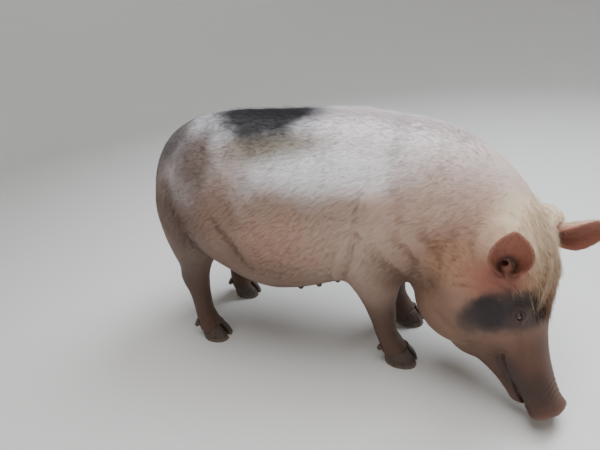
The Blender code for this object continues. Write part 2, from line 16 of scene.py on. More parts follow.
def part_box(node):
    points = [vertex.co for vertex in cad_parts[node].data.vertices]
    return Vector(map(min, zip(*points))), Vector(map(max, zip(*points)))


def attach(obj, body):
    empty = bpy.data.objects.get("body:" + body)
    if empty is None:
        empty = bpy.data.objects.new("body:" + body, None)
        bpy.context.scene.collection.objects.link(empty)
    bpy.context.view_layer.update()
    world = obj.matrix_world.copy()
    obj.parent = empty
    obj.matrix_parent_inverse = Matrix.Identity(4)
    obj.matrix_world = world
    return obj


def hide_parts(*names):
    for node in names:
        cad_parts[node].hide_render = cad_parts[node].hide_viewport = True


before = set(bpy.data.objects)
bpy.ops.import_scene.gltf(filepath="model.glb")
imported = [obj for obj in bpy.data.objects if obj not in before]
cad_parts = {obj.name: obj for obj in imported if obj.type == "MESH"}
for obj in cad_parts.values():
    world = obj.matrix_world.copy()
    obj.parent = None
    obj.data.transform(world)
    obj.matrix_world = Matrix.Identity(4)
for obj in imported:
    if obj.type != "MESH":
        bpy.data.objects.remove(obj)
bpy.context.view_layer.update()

bl_info = {
    "name": "Sow",
    "version": (1, 0, 0),
    "blender": (4, 5, 0),
    "location": "3D View > Sidebar > Sow",
    "description": "Builds the skin, coat, eyes and claws of a standing sow",
    "category": "Object",
}

BODY = "root"
SIDES = ((-1, "right"), (1, "left"))
LEGS = ("foreleg_right", "foreleg_left", "hindleg_right", "hindleg_left")
FLESH = ("head", "neck", "torso", "tail", "ear_right", "ear_left") + LEGS
PHOTO_WIDTH = 600
SENSOR_WIDTH = 36.0

# The head's own frame: X towards the snout, Y to its left, Z out of the forehead.
HEAD_PLACE = Vector((0.536, -0.027, 0.399))
HEAD_YAW = math.radians(-46.7)
HEAD_PITCH = math.radians(52.2)
HEAD_ROLL = math.radians(-30.5)
HEAD_TURN = (
    Matrix.Rotation(HEAD_YAW, 3, "Z") @ Matrix.Rotation(HEAD_PITCH, 3, "Y") @ Matrix.Rotation(HEAD_ROLL, 3, "X")
)

# Eyes and ears in the head's frame. Values are the right one's; the left mirrors Y.
EYE_PLACE = Vector((0.178, -0.083, 0.026))
EYE_LOOK = Vector((0.32, -0.92, 0.22))
LID_SLOPE = Vector((0.92, 0.0, -0.30))
EAR_ROOT = {"right": Vector((0.058, -0.100, 0.054)), "left": Vector((0.030, 0.105, 0.097))}
EAR_ALONG = {"right": Vector((-0.45, -0.72, 0.52)), "left": Vector((0.27, 0.65, 0.70))}
EAR_OPENING = {"right": Vector((0.60, -0.75, 0.00)), "left": Vector((0.67, -0.66, 0.33))}
SNOUT_TIP = 0.430
SNOUT_LEVEL = -0.031
NOSTRIL_SPREAD = 0.017
MOUTH_LINE = ((0.262, -0.046), (0.276, -0.053), (0.310, -0.0605), (0.350, -0.0655), (0.400, -0.069))

# Where the long lock of the forehead runs, in the head's frame.
LOCK_ROUTE = (
    (0.020, -0.020, 0.130), (0.066, -0.027, 0.125), (0.107, -0.043, 0.110), (0.142, -0.045, 0.093),
    (0.162, -0.061, 0.072), (0.190, -0.066, 0.049),
)

LOW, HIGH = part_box("eye_right")
START = (LOW + HIGH) / 2 - (HEAD_PLACE + HEAD_TURN @ EYE_PLACE)
START.z = 0.0
HEAD_ORIGIN = START + HEAD_PLACE

# How much the flesh and the ears grow before they are melted, so that the thin cuts close.
FLESH_GROWTH = 0.0005
EAR_GROWTH = 0.0011
MERGE_DISTANCE = 0.00001
EASE_FACTOR = 0.5
EASE_TIMES = 22
WAVER_HEIGHT = 0.0010
WAVER_SIZE = 0.050

# The teats: how many on each side, the first one's place, the step to the next, and how far out they stand.
TEATS_PER_SIDE = 6
TEAT_FIRST = -0.150
TEAT_STEP = 0.058
TEAT_SPREAD = 0.058

# The lids: half the length of the slit, how far each lid opens, and where they sink into the skin.
SLIT_HALF_LENGTH = 0.0098
UPPER_OPENING = 0.0050
LOWER_OPENING = 0.0040
LIDS_REACH = (0.0235, 0.0190)

# A hair's section is flat, by this share, and a tuft's patch on the unwrap has this size.
HAIR_FLATNESS = 0.42
TUFT_PATCH = 0.003

CLAW_GRAIN = 0.0022
DEWCLAW_GRAIN = 0.0015
CLAW_RING_STEP = 0.0042
CLAW_RING_HEIGHT = 0.00035

# Lights: name, place, size, power and colour.
LAMPS = (
    ("window", (0.9, 1.2, 2.9), 1.8, 105.0, (0.88, 0.94, 1.0)),
    ("ceiling", (0.35, -0.45, 3.1), 2.2, 82.0, (0.97, 0.98, 1.0)),
    ("fill", (-0.6, -3.0, 1.7), 2.4, 13.0, (1.0, 0.93, 0.86)),
)
LAMP_TARGET = Vector((0.0, 0.0, 0.35))
AIR_COLOUR = (1.0, 0.96, 0.91, 1.0)
AIR_STRENGTH = 0.20

# The camera: where it stands, which way it looks, and its focal length in pixels of the photo.
CAMERA_PLACE = Vector((0.481, -1.027, 0.980))
CAMERA_TURN = math.radians(24)
CAMERA_DOWN = math.radians(28)
CAMERA_ROLL = math.radians(8)
CAMERA_FOCUS = 430.0


def mirrored(vector, side):
    """A vector of the right side, for the given side of the body."""
    return Vector((vector.x, -side * vector.y, vector.z))


def eye_frame(side):
    """The frame of an eye: X along its lids, Y across them, Z out of the head."""
    out = mirrored(EYE_LOOK, side).normalized()
    lids = (LID_SLOPE - out * LID_SLOPE.dot(out)).normalized()
    local = Matrix((lids, out.cross(lids), out)).transposed().to_4x4()
    local.translation = mirrored(EYE_PLACE, side)
    return Matrix.Translation(HEAD_ORIGIN) @ HEAD_TURN.to_4x4() @ local


def unit(vectors):
    return vectors / np.maximum(np.linalg.norm(vectors, axis=-1, keepdims=True), 1e-12)


def into_head(points):
    return (points - np.array(HEAD_ORIGIN)) @ np.array(HEAD_TURN)


def out_of_head(directions):
    return np.asarray(directions) @ np.array(HEAD_TURN).T


def ramp(values, start, end):
    """A smooth step from 0 at start to 1 at end."""
    t = np.clip((values - start) / (end - start), 0, 1)
    return t * t * (3 - 2 * t)


def vertex_arrays(mesh):
    """Places and normals of a mesh's vertices."""
    places = np.empty(len(mesh.vertices) * 3, np.float32)
    normals = np.empty(len(mesh.vertices) * 3, np.float32)
    mesh.vertices.foreach_get("co", places)
    mesh.vertices.foreach_get("normal", normals)
    return places.reshape(-1, 3).astype(float), normals.reshape(-1, 3).astype(float)


def moved(mesh, places):
    mesh.vertices.foreach_set("co", places.astype(np.float32).ravel())
    mesh.update()


def wavering(points, size, seed=0.0):
    """Smooth noise from -1 to 1 at each point."""
    offset = Vector((seed, seed * 0.37, -seed))
    return np.array([noise.noise(Vector(p) / size + offset) for p in points.tolist()])


def new_object(name, mesh, slot, replaced=()):
    """A piece of the sow: it rides her one body. The slot argument is not used."""
    piece = bpy.data.objects.new(name, mesh)
    bpy.context.scene.collection.objects.link(piece)
    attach(piece, BODY)
    if replaced:
        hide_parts(*replaced)
    return piece


def settled(piece):
    """Apply an object's modifiers to its mesh."""
    bpy.context.view_layer.update()
    mesh = bpy.data.meshes.new_from_object(piece.evaluated_get(bpy.context.evaluated_depsgraph_get()))
    piece.modifiers.clear()
    piece.data = mesh
    return piece


def triangle_mesh(name, places, faces):
    """A mesh of triangles from arrays."""
    mesh = bpy.data.meshes.new(name)
    mesh.vertices.add(len(places))
    mesh.vertices.foreach_set("co", places.astype(np.float32).ravel())
    mesh.loops.add(faces.size)
    mesh.loops.foreach_set("vertex_index", faces.astype(np.int32).ravel())
    mesh.polygons.add(len(faces))
    mesh.polygons.foreach_set("loop_start", np.arange(0, faces.size, 3, dtype=np.int32))
    mesh.update(calc_edges=True)
    return mesh


# Shader expressions


class Socket:
    """A shader socket that takes part in Python expressions on values."""

    def __init__(self, graph, link):
        self.graph = graph
        self.link = link

    def __add__(self, other):
        return self.graph.math("ADD", self, other)

    def __sub__(self, other):
        return self.graph.math("SUBTRACT", self, other)

    def __mul__(self, other):
        return self.graph.math("MULTIPLY", self, other)

    def __pow__(self, other):
        return self.graph.math("POWER", self, other)

    def __radd__(self, other):
        return self.graph.math("ADD", other, self)

    def __rsub__(self, other):
        return self.graph.math("SUBTRACT", other, self)

    def __rmul__(self, other):
        return self.graph.math("MULTIPLY", other, self)


class Graph:
    """The nodes of one material."""

    def __init__(self, name):
        self.material = bpy.data.materials.new(name)
        self.material.use_nodes = True
        self.tree = self.material.node_tree
        self.shader = self.tree.nodes["Principled BSDF"]
        self.places = None
        self.kept = {}

    def node(self, kind, settings=None, inputs=None):
        """Any node: its settings, then the values or links of its sockets."""
        made = self.tree.nodes.new(kind)
        for key, value in (settings or {}).items():
            setattr(made, key, value)
        for key, value in (inputs or {}).items():
            self.feed(made.inputs[key], value)
        return made

    def feed(self, socket, value):
        if isinstance(value, Socket):
            self.tree.links.new(value.link, socket)
        elif hasattr(value, "is_output"):
            self.tree.links.new(value, socket)
        elif isinstance(value, (tuple, Vector)) and len(socket.default_value) == 4:
            socket.default_value = (*value, 1.0)
        else:
            socket.default_value = value

    def math(self, operation, first, second=0.0):
        made = self.node("ShaderNodeMath", {"operation": operation}, {0: first, 1: second})
        return Socket(self, made.outputs[0])

    def vector(self, operation, first, second=(0, 0, 0)):
        other = {"Scale": second} if operation == "SCALE" else {1: second}
        made = self.node("ShaderNodeVectorMath", {"operation": operation}, {0: first, **other})
        return Socket(self, made.outputs["Value" if operation in ("LENGTH", "DOT_PRODUCT") else "Vector"])

    def mix(self, share, first, second, blend="MIX"):
        """A colour between two colours."""
        settings = {"data_type": "RGBA", "blend_type": blend}
        made = self.node("ShaderNodeMix", settings, {0: share, 6: first, 7: second})
        return Socket(self, made.outputs[2])

    def step(self, value, start, end):
        """A smooth step from 0 at start to 1 at end."""
        settings = {"interpolation_type": "SMOOTHSTEP"}
        made = self.node("ShaderNodeMapRange", settings, {0: value, 1: start, 2: end, 3: 0.0, 4: 1.0})
        return Socket(self, made.outputs[0])

    def sow_place(self):
        """The place on the sow, from START."""
        if self.places is None:
            texture = self.node("ShaderNodeTexCoord")
            self.places = self.vector("SUBTRACT", texture.outputs["Object"], tuple(START))
        return self.places

    def head_place(self):
        """The place in the head's frame."""
        if "head" in self.kept:
            return self.kept["head"]
        local = self.vector("SUBTRACT", self.sow_place(), tuple(HEAD_PLACE))
        axes = [tuple(HEAD_TURN.col[i]) for i in range(3)]
        parts = {i: self.vector("DOT_PRODUCT", local, axis) for i, axis in enumerate(axes)}
        self.kept["head"] = self.joined(parts)
        return self.kept["head"]

    def joined(self, parts):
        """A vector from its three parts."""
        return Socket(self, self.node("ShaderNodeCombineXYZ", inputs=parts).outputs[0])

    def attribute(self, name):
        """A number that each vertex of the mesh holds."""
        return Socket(self, self.node("ShaderNodeAttribute", {"attribute_name": name}).outputs["Fac"])

    def parts(self, vector):
        made = self.node("ShaderNodeSeparateXYZ", inputs={0: vector})
        return [Socket(self, made.outputs[i]) for i in range(3)]

    def noise(self, scale, detail=3.0, rough=0.5, vector=None, stretch=None):
        """Noise from 0 to 1, stretched along an axis where one scale is small."""
        key = (scale, detail, rough, stretch)
        if vector is None and key in self.kept:
            return self.kept[key]
        place = vector or self.sow_place()
        if stretch:
            place = self.vector("MULTIPLY", place, stretch)
        inputs = {"Vector": place, "Scale": scale, "Detail": detail, "Roughness": rough}
        made = Socket(self, self.node("ShaderNodeTexNoise", inputs=inputs).outputs[0])
        if vector is None:
            self.kept[key] = made
        return made

    def spot(self, place, middle, sizes, edge=0.35, ragged=0.25, scale=22.0):
        """1 inside a soft-edged oval region and 0 outside, its edge broken by noise."""
        away = self.vector("DIVIDE", self.vector("SUBTRACT", place, middle), sizes)
        far = self.vector("LENGTH", away) + (self.noise(scale, 2.5) - 0.5) * ragged * 2
        return 1 - self.step(far, 1 - edge, 1 + edge)

    def spotted(self, colour, place, spots, edge, ragged, scale):
        """A colour with a table of spots over it."""
        colours = bpy.context.scene.sow_colours
        for middle, sizes, strength, tint in spots:
            if isinstance(tint, str):
                tint = tuple(getattr(colours, tint))
            colour = self.mix(self.spot(place, middle, sizes, edge, ragged, scale) * strength, colour, tint)
        return colour

    def bump(self, height, depth):
        inputs = {"Height": height, "Distance": depth, "Strength": 1.0}
        return Socket(self, self.node("ShaderNodeBump", inputs=inputs).outputs[0])

    def finish(self, **values):
        for name, value in values.items():
            self.feed(self.shader.inputs[name.replace("_", " ")], value)
        return self.material


# Colours and finishes of the sow


class SowColours(bpy.types.PropertyGroup):
    """Colours of the coat, skin and floor."""

    cream: bpy.props.FloatVectorProperty(
        name="Cream", description="Clean hair of the back", subtype="COLOR", default=(0.63, 0.61, 0.645)
    )
    flesh: bpy.props.FloatVectorProperty(
        name="Flesh", description="Pink skin that shows through the thin coat of the sides", subtype="COLOR",
        default=(0.305, 0.184, 0.138),
    )
    tan: bpy.props.FloatVectorProperty(
        name="Tan", description="Soiled hair of the sides", subtype="COLOR", default=(0.272, 0.188, 0.146)
    )
    dirt: bpy.props.FloatVectorProperty(
        name="Dirt", description="Dried mud on the sides and belly", subtype="COLOR",
        default=(0.27, 0.175, 0.125),
    )
    mud: bpy.props.FloatVectorProperty(
        name="Mud", description="Wet mud on the shanks and feet", subtype="COLOR", default=(0.058, 0.027, 0.015)
    )
    stain: bpy.props.FloatVectorProperty(
        name="Stain", description="Rusty stain on the neck and cheek", subtype="COLOR",
        default=(0.38, 0.20, 0.12),
    )
    patch: bpy.props.FloatVectorProperty(
        name="Patch", description="Dark patches of the loin and eye", subtype="COLOR",
        default=(0.012, 0.011, 0.013),
    )
    blush: bpy.props.FloatVectorProperty(
        name="Blush", description="Bare red skin of the ear and temple", subtype="COLOR",
        default=(0.31, 0.088, 0.054),
    )
    straw: bpy.props.FloatVectorProperty(
        name="Straw", description="Yellowed bristles of the poll and forehead", subtype="COLOR",
        default=(0.73, 0.575, 0.40),
    )
    horn: bpy.props.FloatVectorProperty(
        name="Horn", description="Horn of the claws", subtype="COLOR", default=(0.080, 0.055, 0.040)
    )
    floor: bpy.props.FloatVectorProperty(
        name="Floor", description="Pale studio floor", subtype="COLOR", default=(0.72, 0.71, 0.69)
    )


class SowSizes(bpy.types.PropertyGroup):
    """Sizes of the skin and coat."""

    grain: bpy.props.FloatProperty(
        name="Grain", description="Size of the grid the skin is melted on", default=0.0026, unit="LENGTH"
    )
    skin_share: bpy.props.FloatProperty(
        name="Skin share", description="Share of the skin's triangles that stay", default=0.46, subtype="FACTOR"
    )
    coat_depth: bpy.props.FloatProperty(
        name="Coat depth", description="How far the skin lies inside the solids on the trunk", default=0.0030,
        unit="LENGTH",
    )
    coat_length: bpy.props.FloatProperty(
        name="Coat length", description="Length of a hair on the trunk", default=0.023, unit="LENGTH"
    )
    hair_width: bpy.props.FloatProperty(
        name="Hair width", description="Thickness of a hair at its root", default=0.00058, unit="LENGTH"
    )
    lift: bpy.props.FloatProperty(
        name="Lift", description="Angle of the hairs over the skin", default=math.radians(3.5), subtype="ANGLE"
    )
    bristle_length: bpy.props.FloatProperty(
        name="Bristle length", description="Length of the bristles on the withers and poll", default=0.042,
        unit="LENGTH",
    )
    seed: bpy.props.IntProperty(name="Seed", description="Seed of all random draws", default=7)


# Spots of colour on skin and hair: each has its middle, its sizes, its strength and its colour,
# which is a colour of SowColours where it is a word.

# On the trunk, from START
TRUNK_SPOTS = (
    # The first two spots darken the rump's top and side: partly dirt, partly painted shade.
    ((-0.175, -0.150, 0.640), (0.060, 0.070, 0.090), 0.92, (0.122, 0.083, 0.068)),
    ((-0.300, -0.070, 0.675), (0.105, 0.115, 0.072), 0.95, (0.082, 0.066, 0.064)),
    ((-0.060, -0.165, 0.635), (0.060, 0.060, 0.070), 0.40, "dirt"),
    ((0.030, -0.135, 0.675), (0.135, 0.055, 0.046), 0.90, (0.155, 0.127, 0.086)),
    ((-0.100, -0.205, 0.490), (0.055, 0.040, 0.110), 0.70, (0.225, 0.140, 0.105)),
    ((0.190, -0.200, 0.535), (0.130, 0.050, 0.028), 0.40, "dirt"),
    ((-0.020, -0.210, 0.395), (0.110, 0.080, 0.050), 0.60, (0.135, 0.080, 0.055)),
    ((0.040, -0.215, 0.545), (0.080, 0.050, 0.036), 0.50, "dirt"),
    ((0.060, -0.218, 0.450), (0.100, 0.060, 0.072), 0.50, (0.47, 0.275, 0.205)),
    # A bluish-white band on the upper flank: painted sheen, a highlight of the light on the coat.
    ((0.190, -0.165, 0.620), (0.170, 0.055, 0.045), 0.60, (0.86, 0.86, 0.90)),
    ((0.040, 0.170, 0.560), (0.160, 0.080, 0.060), 0.45, "dirt"),
    ((-0.200, 0.170, 0.520), (0.070, 0.070, 0.110), 0.45, "dirt"),
)

# Lighter spots in the hollow before the foreleg and inside the thigh, from START: painted light that lifts the
# shade there.
HOLLOW_SPOTS = (
    ((0.400, -0.140, 0.350), (0.060, 0.080, 0.075), 0.80, (0.36, 0.225, 0.165)),
    ((-0.330, -0.140, 0.400), (0.060, 0.090, 0.090), 0.60, (0.185, 0.120, 0.095)),
)

# On the head and the neck behind it, in the head's frame
HEAD_SPOTS = (
    ((0.016, -0.151, -0.045), (0.060, 0.060, 0.060), 0.75, "stain"),
    ((-0.040, -0.120, 0.040), (0.080, 0.060, 0.060), 0.40, (0.48, 0.28, 0.21)),
    ((-0.020, -0.080, 0.105), (0.060, 0.060, 0.040), 0.70, "straw"),
    ((0.092, -0.120, 0.030), (0.050, 0.050, 0.060), 0.92, (0.26, 0.092, 0.062)),
    ((0.066, -0.145, -0.014), (0.040, 0.040, 0.045), 0.15, "blush"),
    # Near-black along the mouth line: painted shade of the mouth.
    ((0.330, -0.050, -0.055), (0.090, 0.060, 0.030), 0.88, (0.028, 0.013, 0.008)),
    ((0.400, -0.050, -0.020), (0.050, 0.040, 0.060), 0.50, (0.065, 0.030, 0.020)),
    ((0.150, -0.110, -0.150), (0.110, 0.070, 0.040), 0.60, (0.205, 0.112, 0.074)),
    ((0.362, -0.045, -0.012), (0.048, 0.040, 0.034), 0.78, (0.028, 0.013, 0.008)),
    ((0.432, 0.000, -0.031), (0.014, 0.070, 0.060), 0.70, (0.17, 0.080, 0.062)),
)

# The dark patch round the right eye, in the head's frame, with the softness of each edge
EYE_PATCH = (
    ((0.160, -0.110, -0.012), (0.052, 0.075, 0.082), 0.30, 0.88, (0.036, 0.020, 0.017)),
    ((0.182, -0.080, 0.040), (0.046, 0.060, 0.044), 0.40, 0.84, (0.042, 0.024, 0.020)),
    ((0.146, -0.092, 0.044), (0.020, 0.050, 0.036), 0.50, 0.75, (0.020, 0.012, 0.011)),
    ((0.156, -0.118, -0.022), (0.040, 0.060, 0.038), 0.42, 1.0, (0.010, 0.006, 0.0055)),
    ((0.150, -0.125, -0.058), (0.022, 0.050, 0.026), 0.60, 0.55, (0.024, 0.016, 0.015)),
)


def face_share(graph):
    """1 on the head and 0 behind it, soft where they meet."""
    along, _, over = graph.parts(graph.head_place())
    drift = graph.noise(7.0, 2.0, 0.45) - 0.5
    return graph.step(along + drift * 0.06, -0.085, 0.045) * graph.step(over, -0.250, -0.200)


def markings(graph):
    """The colour of skin or hair anywhere on the sow, the same marks on both."""
    colours = bpy.context.scene.sow_colours
    place = graph.sow_place()
    x, y, z = graph.parts(place)
    head = graph.head_place()
    along, across, over = graph.parts(head)
    cloud = graph.noise(7.0, 2.0, 0.45)
    drift = cloud - 0.5
    cream, tan, flesh = tuple(colours.cream), tuple(colours.tan), tuple(colours.flesh)
    dirt, mud = tuple(colours.dirt), tuple(colours.mud)

    colour = graph.mix(graph.step(cloud, 0.40, 0.64), flesh, tan)
    fore = graph.step(x + drift * 0.12, 0.02, 0.26)
    colour = graph.mix(fore * 0.75, colour, (0.50, 0.362, 0.284))
    white = graph.mix(fore * 0.45, cream, (0.555, 0.445, 0.43))
    colour = graph.mix(graph.step(z + drift * 0.14, 0.490, 0.695) * 0.95, colour, white)
    # Darker towards the bottom of the body: partly dirt, partly painted shade.
    colour = graph.mix((1 - graph.step(z + drift * 0.12, 0.22, 0.45)) * 0.84, colour, (0.128, 0.073, 0.049))
    # The rear thigh and lower haunch are painted darker: painted shade.
    haunch_shade = (1 - graph.step(x + drift * 0.10, -0.28, -0.06)) * (1 - graph.step(z + drift * 0.12, 0.50, 0.72))
    colour = graph.mix(haunch_shade * 0.88, colour, (0.092, 0.060, 0.048))

    colour = graph.spotted(colour, place, TRUNK_SPOTS, 0.55, 0.22, 14.0)

    loin = graph.spot(place, (-0.022, -0.008, 0.725), (0.156, 0.130, 0.094), 0.32, 0.32, 16.0)
    colour = graph.mix(loin * 0.98, colour, tuple(colours.patch))

    colour = graph.spotted(colour, place, HOLLOW_SPOTS, 0.70, 0.20, 12.0)
    neck = graph.spot(place, (0.430, -0.150, 0.450), (0.130, 0.120, 0.150), 0.75, 0.16, 12.0)
    colour = graph.mix(neck * 0.75, colour, (0.50, 0.315, 0.245))
    face = face_share(graph)
    # Low on the face the colour is darker than above: partly its own colour, partly painted shade.
    upper = graph.step(over + drift * 0.05, -0.130, -0.020)
    cheek = graph.mix(upper, (0.128, 0.070, 0.043), (0.265, 0.145, 0.098))
    crown = graph.step(over + drift * 0.05, 0.015, 0.075) * (1 - graph.step(along + drift * 0.05, 0.13, 0.24))
    brow = graph.mix(graph.step(along, 0.01, 0.12), tuple(colours.straw), (0.31, 0.180, 0.105))
    cheek = graph.mix(crown, cheek, brow)
    cheek = graph.mix(graph.step(along + drift * 0.05, 0.15, 0.29), cheek, (0.078, 0.032, 0.018))
    colour = graph.mix(face * 0.94, colour, cheek)
    colour = graph.spotted(colour, head, HEAD_SPOTS, 0.55, 0.18, 24.0)
    for middle, sizes, edge, strength, tint in EYE_PATCH:
        colour = graph.mix(graph.spot(head, middle, sizes, edge, 0.28, 30.0) * strength, colour, tint)

    rear = 1 - graph.step(x, -0.05, 0.05)
    fore_mud = 1 - graph.step(z + drift * 0.08, 0.170, 0.285)
    rear_mud = (1 - graph.step(z + drift * 0.10, 0.180, 0.380)) * rear
    below = (1 - face) * graph.math("MAXIMUM", fore_mud, rear_mud)
    colour = graph.mix(below * 0.92, colour, mud)
    spots = graph.step(graph.noise(60.0, 5.0, 0.6), 0.62, 0.80)
    return graph.mix(spots * 0.05, colour, dirt)


def streaks(graph):
    """Fine lines that run the way the hair lies: back along the trunk, up the face, down the legs."""
    x, y, z = graph.parts(graph.sow_place())
    slope = graph.joined({0: x * 22, 1: y * 330, 2: (z - x * 0.35) * 330})
    trunk = graph.noise(1.0, 3.0, 0.6, slope)
    head = graph.noise(1.0, 3.0, 0.6, graph.head_place(), (30.0, 420.0, 420.0))
    legs = graph.noise(1.0, 3.0, 0.6, None, (420.0, 420.0, 34.0))
    face = face_share(graph)
    shank = (1 - graph.step(z, 0.22, 0.32)) * (1 - face)
    mixed = trunk * (1 - face) + head * face
    return mixed * (1 - shank) + legs * shank


def skin_material():
    graph = Graph("skin")
    colours = bpy.context.scene.sow_colours
    colour = markings(graph)
    lines = streaks(graph)
    colour = graph.mix((lines - 0.5) * 0.4 + 0.22, colour, (0.95, 0.92, 0.89), "SOFT_LIGHT")
    head = graph.head_place()
    normal = graph.node("ShaderNodeNewGeometry").outputs["Normal"]
    for _, word in SIDES:
        near = graph.attribute(f"ear_{word}")
        depth = graph.vector("LENGTH", graph.vector("SUBTRACT", head, tuple(EAR_ROOT[word])))
        facing = graph.vector("DOT_PRODUCT", normal, tuple(HEAD_TURN @ EAR_OPENING[word].normalized()))
        inside = graph.step(facing, -0.25, 0.35) * near
        colour = graph.mix(near * 0.60, colour, (0.32, 0.150, 0.105))
        colour = graph.mix(inside * 0.85, colour, tuple(colours.blush))
        # The ear's canal and the faces near its root that turn away from the opening are painted near-black:
        # painted shade.
        canal = 1 - graph.step(depth, 0.012, 0.030)
        shadow = (1 - graph.step(depth, 0.018, 0.056)) * graph.step(facing, -0.9, -0.2)
        colour = graph.mix(graph.math("MAXIMUM", shadow, canal) * near * 0.93, colour, (0.040, 0.016, 0.012))
    # The nostrils are painted near-black: painted shade of their openings.
    for side, word in SIDES:
        far = graph.vector("SUBTRACT", head, (SNOUT_TIP - 0.014, side * NOSTRIL_SPREAD, SNOUT_LEVEL + 0.002))
        nostril = 1 - graph.step(graph.vector("LENGTH", far), 0.009, 0.014)
        colour = graph.mix(nostril * 0.9, colour, (0.05, 0.018, 0.014))
    wrinkle = graph.node(
        "ShaderNodeTexVoronoi", {"feature": "DISTANCE_TO_EDGE"}, {"Vector": graph.sow_place(), "Scale": 330.0}
    )
    cells = graph.step(Socket(graph, wrinkle.outputs["Distance"]), 0.0, 0.12)
    coarse = graph.noise(170.0, 5.0, 0.6)
    height = lines * 0.9 + cells * 0.12 + coarse * 0.5
    rough = 0.62 + (coarse - 0.5) * 0.3
    graph.shader.inputs["Subsurface Weight"].default_value = 0.06
    graph.shader.inputs["Subsurface Radius"].default_value = (0.010, 0.004, 0.002)
    return graph.finish(Base_Color=colour, Roughness=rough, Normal=graph.bump(height, 0.00035))


def hair_material(name, tint=None, share=0.0):
    """Hair with the sow's markings, lighter to its tip, each hair a little different."""
    graph = Graph(name)
    colour = markings(graph)
    if tint is not None:
        colour = graph.mix(share, colour, tint)
    shade = graph.attribute("shade")
    along = graph.attribute("along")
    # Hair is painted lighter than the skin's markings (1.24 times) to offset the shade the hairs cast on one
    # another: painted light.
    light = 1.24 - face_share(graph) * 0.27 + along * 0.08 + (shade - 0.5) * 0.20
    colour = graph.vector("SCALE", colour, light)
    graph.shader.inputs["Specular IOR Level"].default_value = 0.20
    return graph.finish(Base_Color=colour, Roughness=0.42 + shade * 0.16)


def claw_material():
    graph = Graph("claw_horn")
    colours = bpy.context.scene.sow_colours
    rings = graph.noise(1.0, 3.0, 0.5, None, (60.0, 60.0, 900.0))
    grain = graph.noise(1.0, 3.0, 0.6, None, (700.0, 700.0, 60.0))
    z = graph.parts(graph.sow_place())[2]
    worn = 1 - graph.step(z + (rings - 0.5) * 0.01, 0.004, 0.018)
    colour = graph.mix(grain * 0.6 + rings * 0.3, tuple(colours.horn), (0.045, 0.030, 0.022))
    colour = graph.mix(worn * 0.5, colour, (0.22, 0.17, 0.12))
    mud = graph.step(graph.noise(55.0, 5.0, 0.6), 0.50, 0.62)
    colour = graph.mix(mud * 0.7, colour, tuple(colours.mud))
    height = rings * 0.6 + grain * 0.5 + mud * 0.8
    return graph.finish(Base_Color=colour, Roughness=0.48 + mud * 0.3, Normal=graph.bump(height, 0.0007))


def eye_material(side):
    """A wet dark eye: pupil, brown iris with fine spokes, dark rim and a dull white."""
    graph = Graph(f"eye_wet_{side}")
    frame_of_eye = eye_frame(side)
    texture = graph.node("ShaderNodeTexCoord")
    local = graph.vector("SUBTRACT", texture.outputs["Object"], tuple(frame_of_eye.translation))
    axes = [tuple(frame_of_eye.col[i].xyz) for i in range(3)]
    lid, up, out = (graph.vector("DOT_PRODUCT", local, axis) for axis in axes)
    far = (lid * lid + up * up) ** 0.5
    spokes = graph.noise(1.0, 4.0, 0.6, graph.vector("NORMALIZE", local), (14.0, 14.0, 14.0))
    iris = graph.mix(spokes, (0.030, 0.013, 0.006), (0.085, 0.040, 0.016))
    colour = graph.mix(graph.step(far, 0.0030, 0.0036), (0.002, 0.002, 0.003), iris)
    colour = graph.mix(graph.step(far, 0.0060, 0.0070), colour, (0.020, 0.012, 0.010))
    colour = graph.mix(graph.step(far, 0.0072, 0.0090), colour, (0.12, 0.075, 0.058))
    graph.shader.inputs["Coat Weight"].default_value = 1.0
    graph.shader.inputs["Coat Roughness"].default_value = 0.03
    return graph.finish(Base_Color=colour, Roughness=0.16 + spokes * 0.08)


# Folds of the skin, each a route on the right side, its half width and its depth

BODY_FOLDS = (
    (
        ((0.246, -0.200, 0.475), (0.234, -0.198, 0.435), (0.223, -0.195, 0.400),
         (0.211, -0.188, 0.365), (0.196, -0.165, 0.325)),
        0.0115, 0.0034,
    ),
    (
        ((0.262, -0.195, 0.400), (0.245, -0.192, 0.375), (0.226, -0.182, 0.345)),
        0.0069, 0.0019,
    ),
    (
        ((-0.128, -0.212, 0.505), (-0.108, -0.216, 0.470), (-0.092, -0.218, 0.445),
         (-0.075, -0.218, 0.415), (-0.052, -0.205, 0.370)),
        0.0180, 0.0020,
    ),
    (
        ((0.330, -0.178, 0.465), (0.350, -0.170, 0.425), (0.363, -0.158, 0.392),
         (0.366, -0.143, 0.355)),
        0.0138, 0.0020,
    ),
    (
        ((0.352, -0.168, 0.455), (0.372, -0.158, 0.415), (0.385, -0.146, 0.380)),
        0.0115, 0.0011,
    ),
    (
        ((0.412, -0.160, 0.440), (0.412, -0.166, 0.380), (0.402, -0.150, 0.325),
         (0.388, -0.110, 0.288)),
        0.0210, 0.0026,
    ),
    (
        ((-0.404, -0.012, 0.560), (-0.396, -0.012, 0.500), (-0.380, -0.012, 0.440),
         (-0.360, -0.012, 0.400)),
        0.0120, 0.0090,
    ),
    (
        ((-0.345, -0.130, 0.480), (-0.325, -0.160, 0.430), (-0.300, -0.180, 0.390)),
        0.0138, 0.0019,
    ),
)
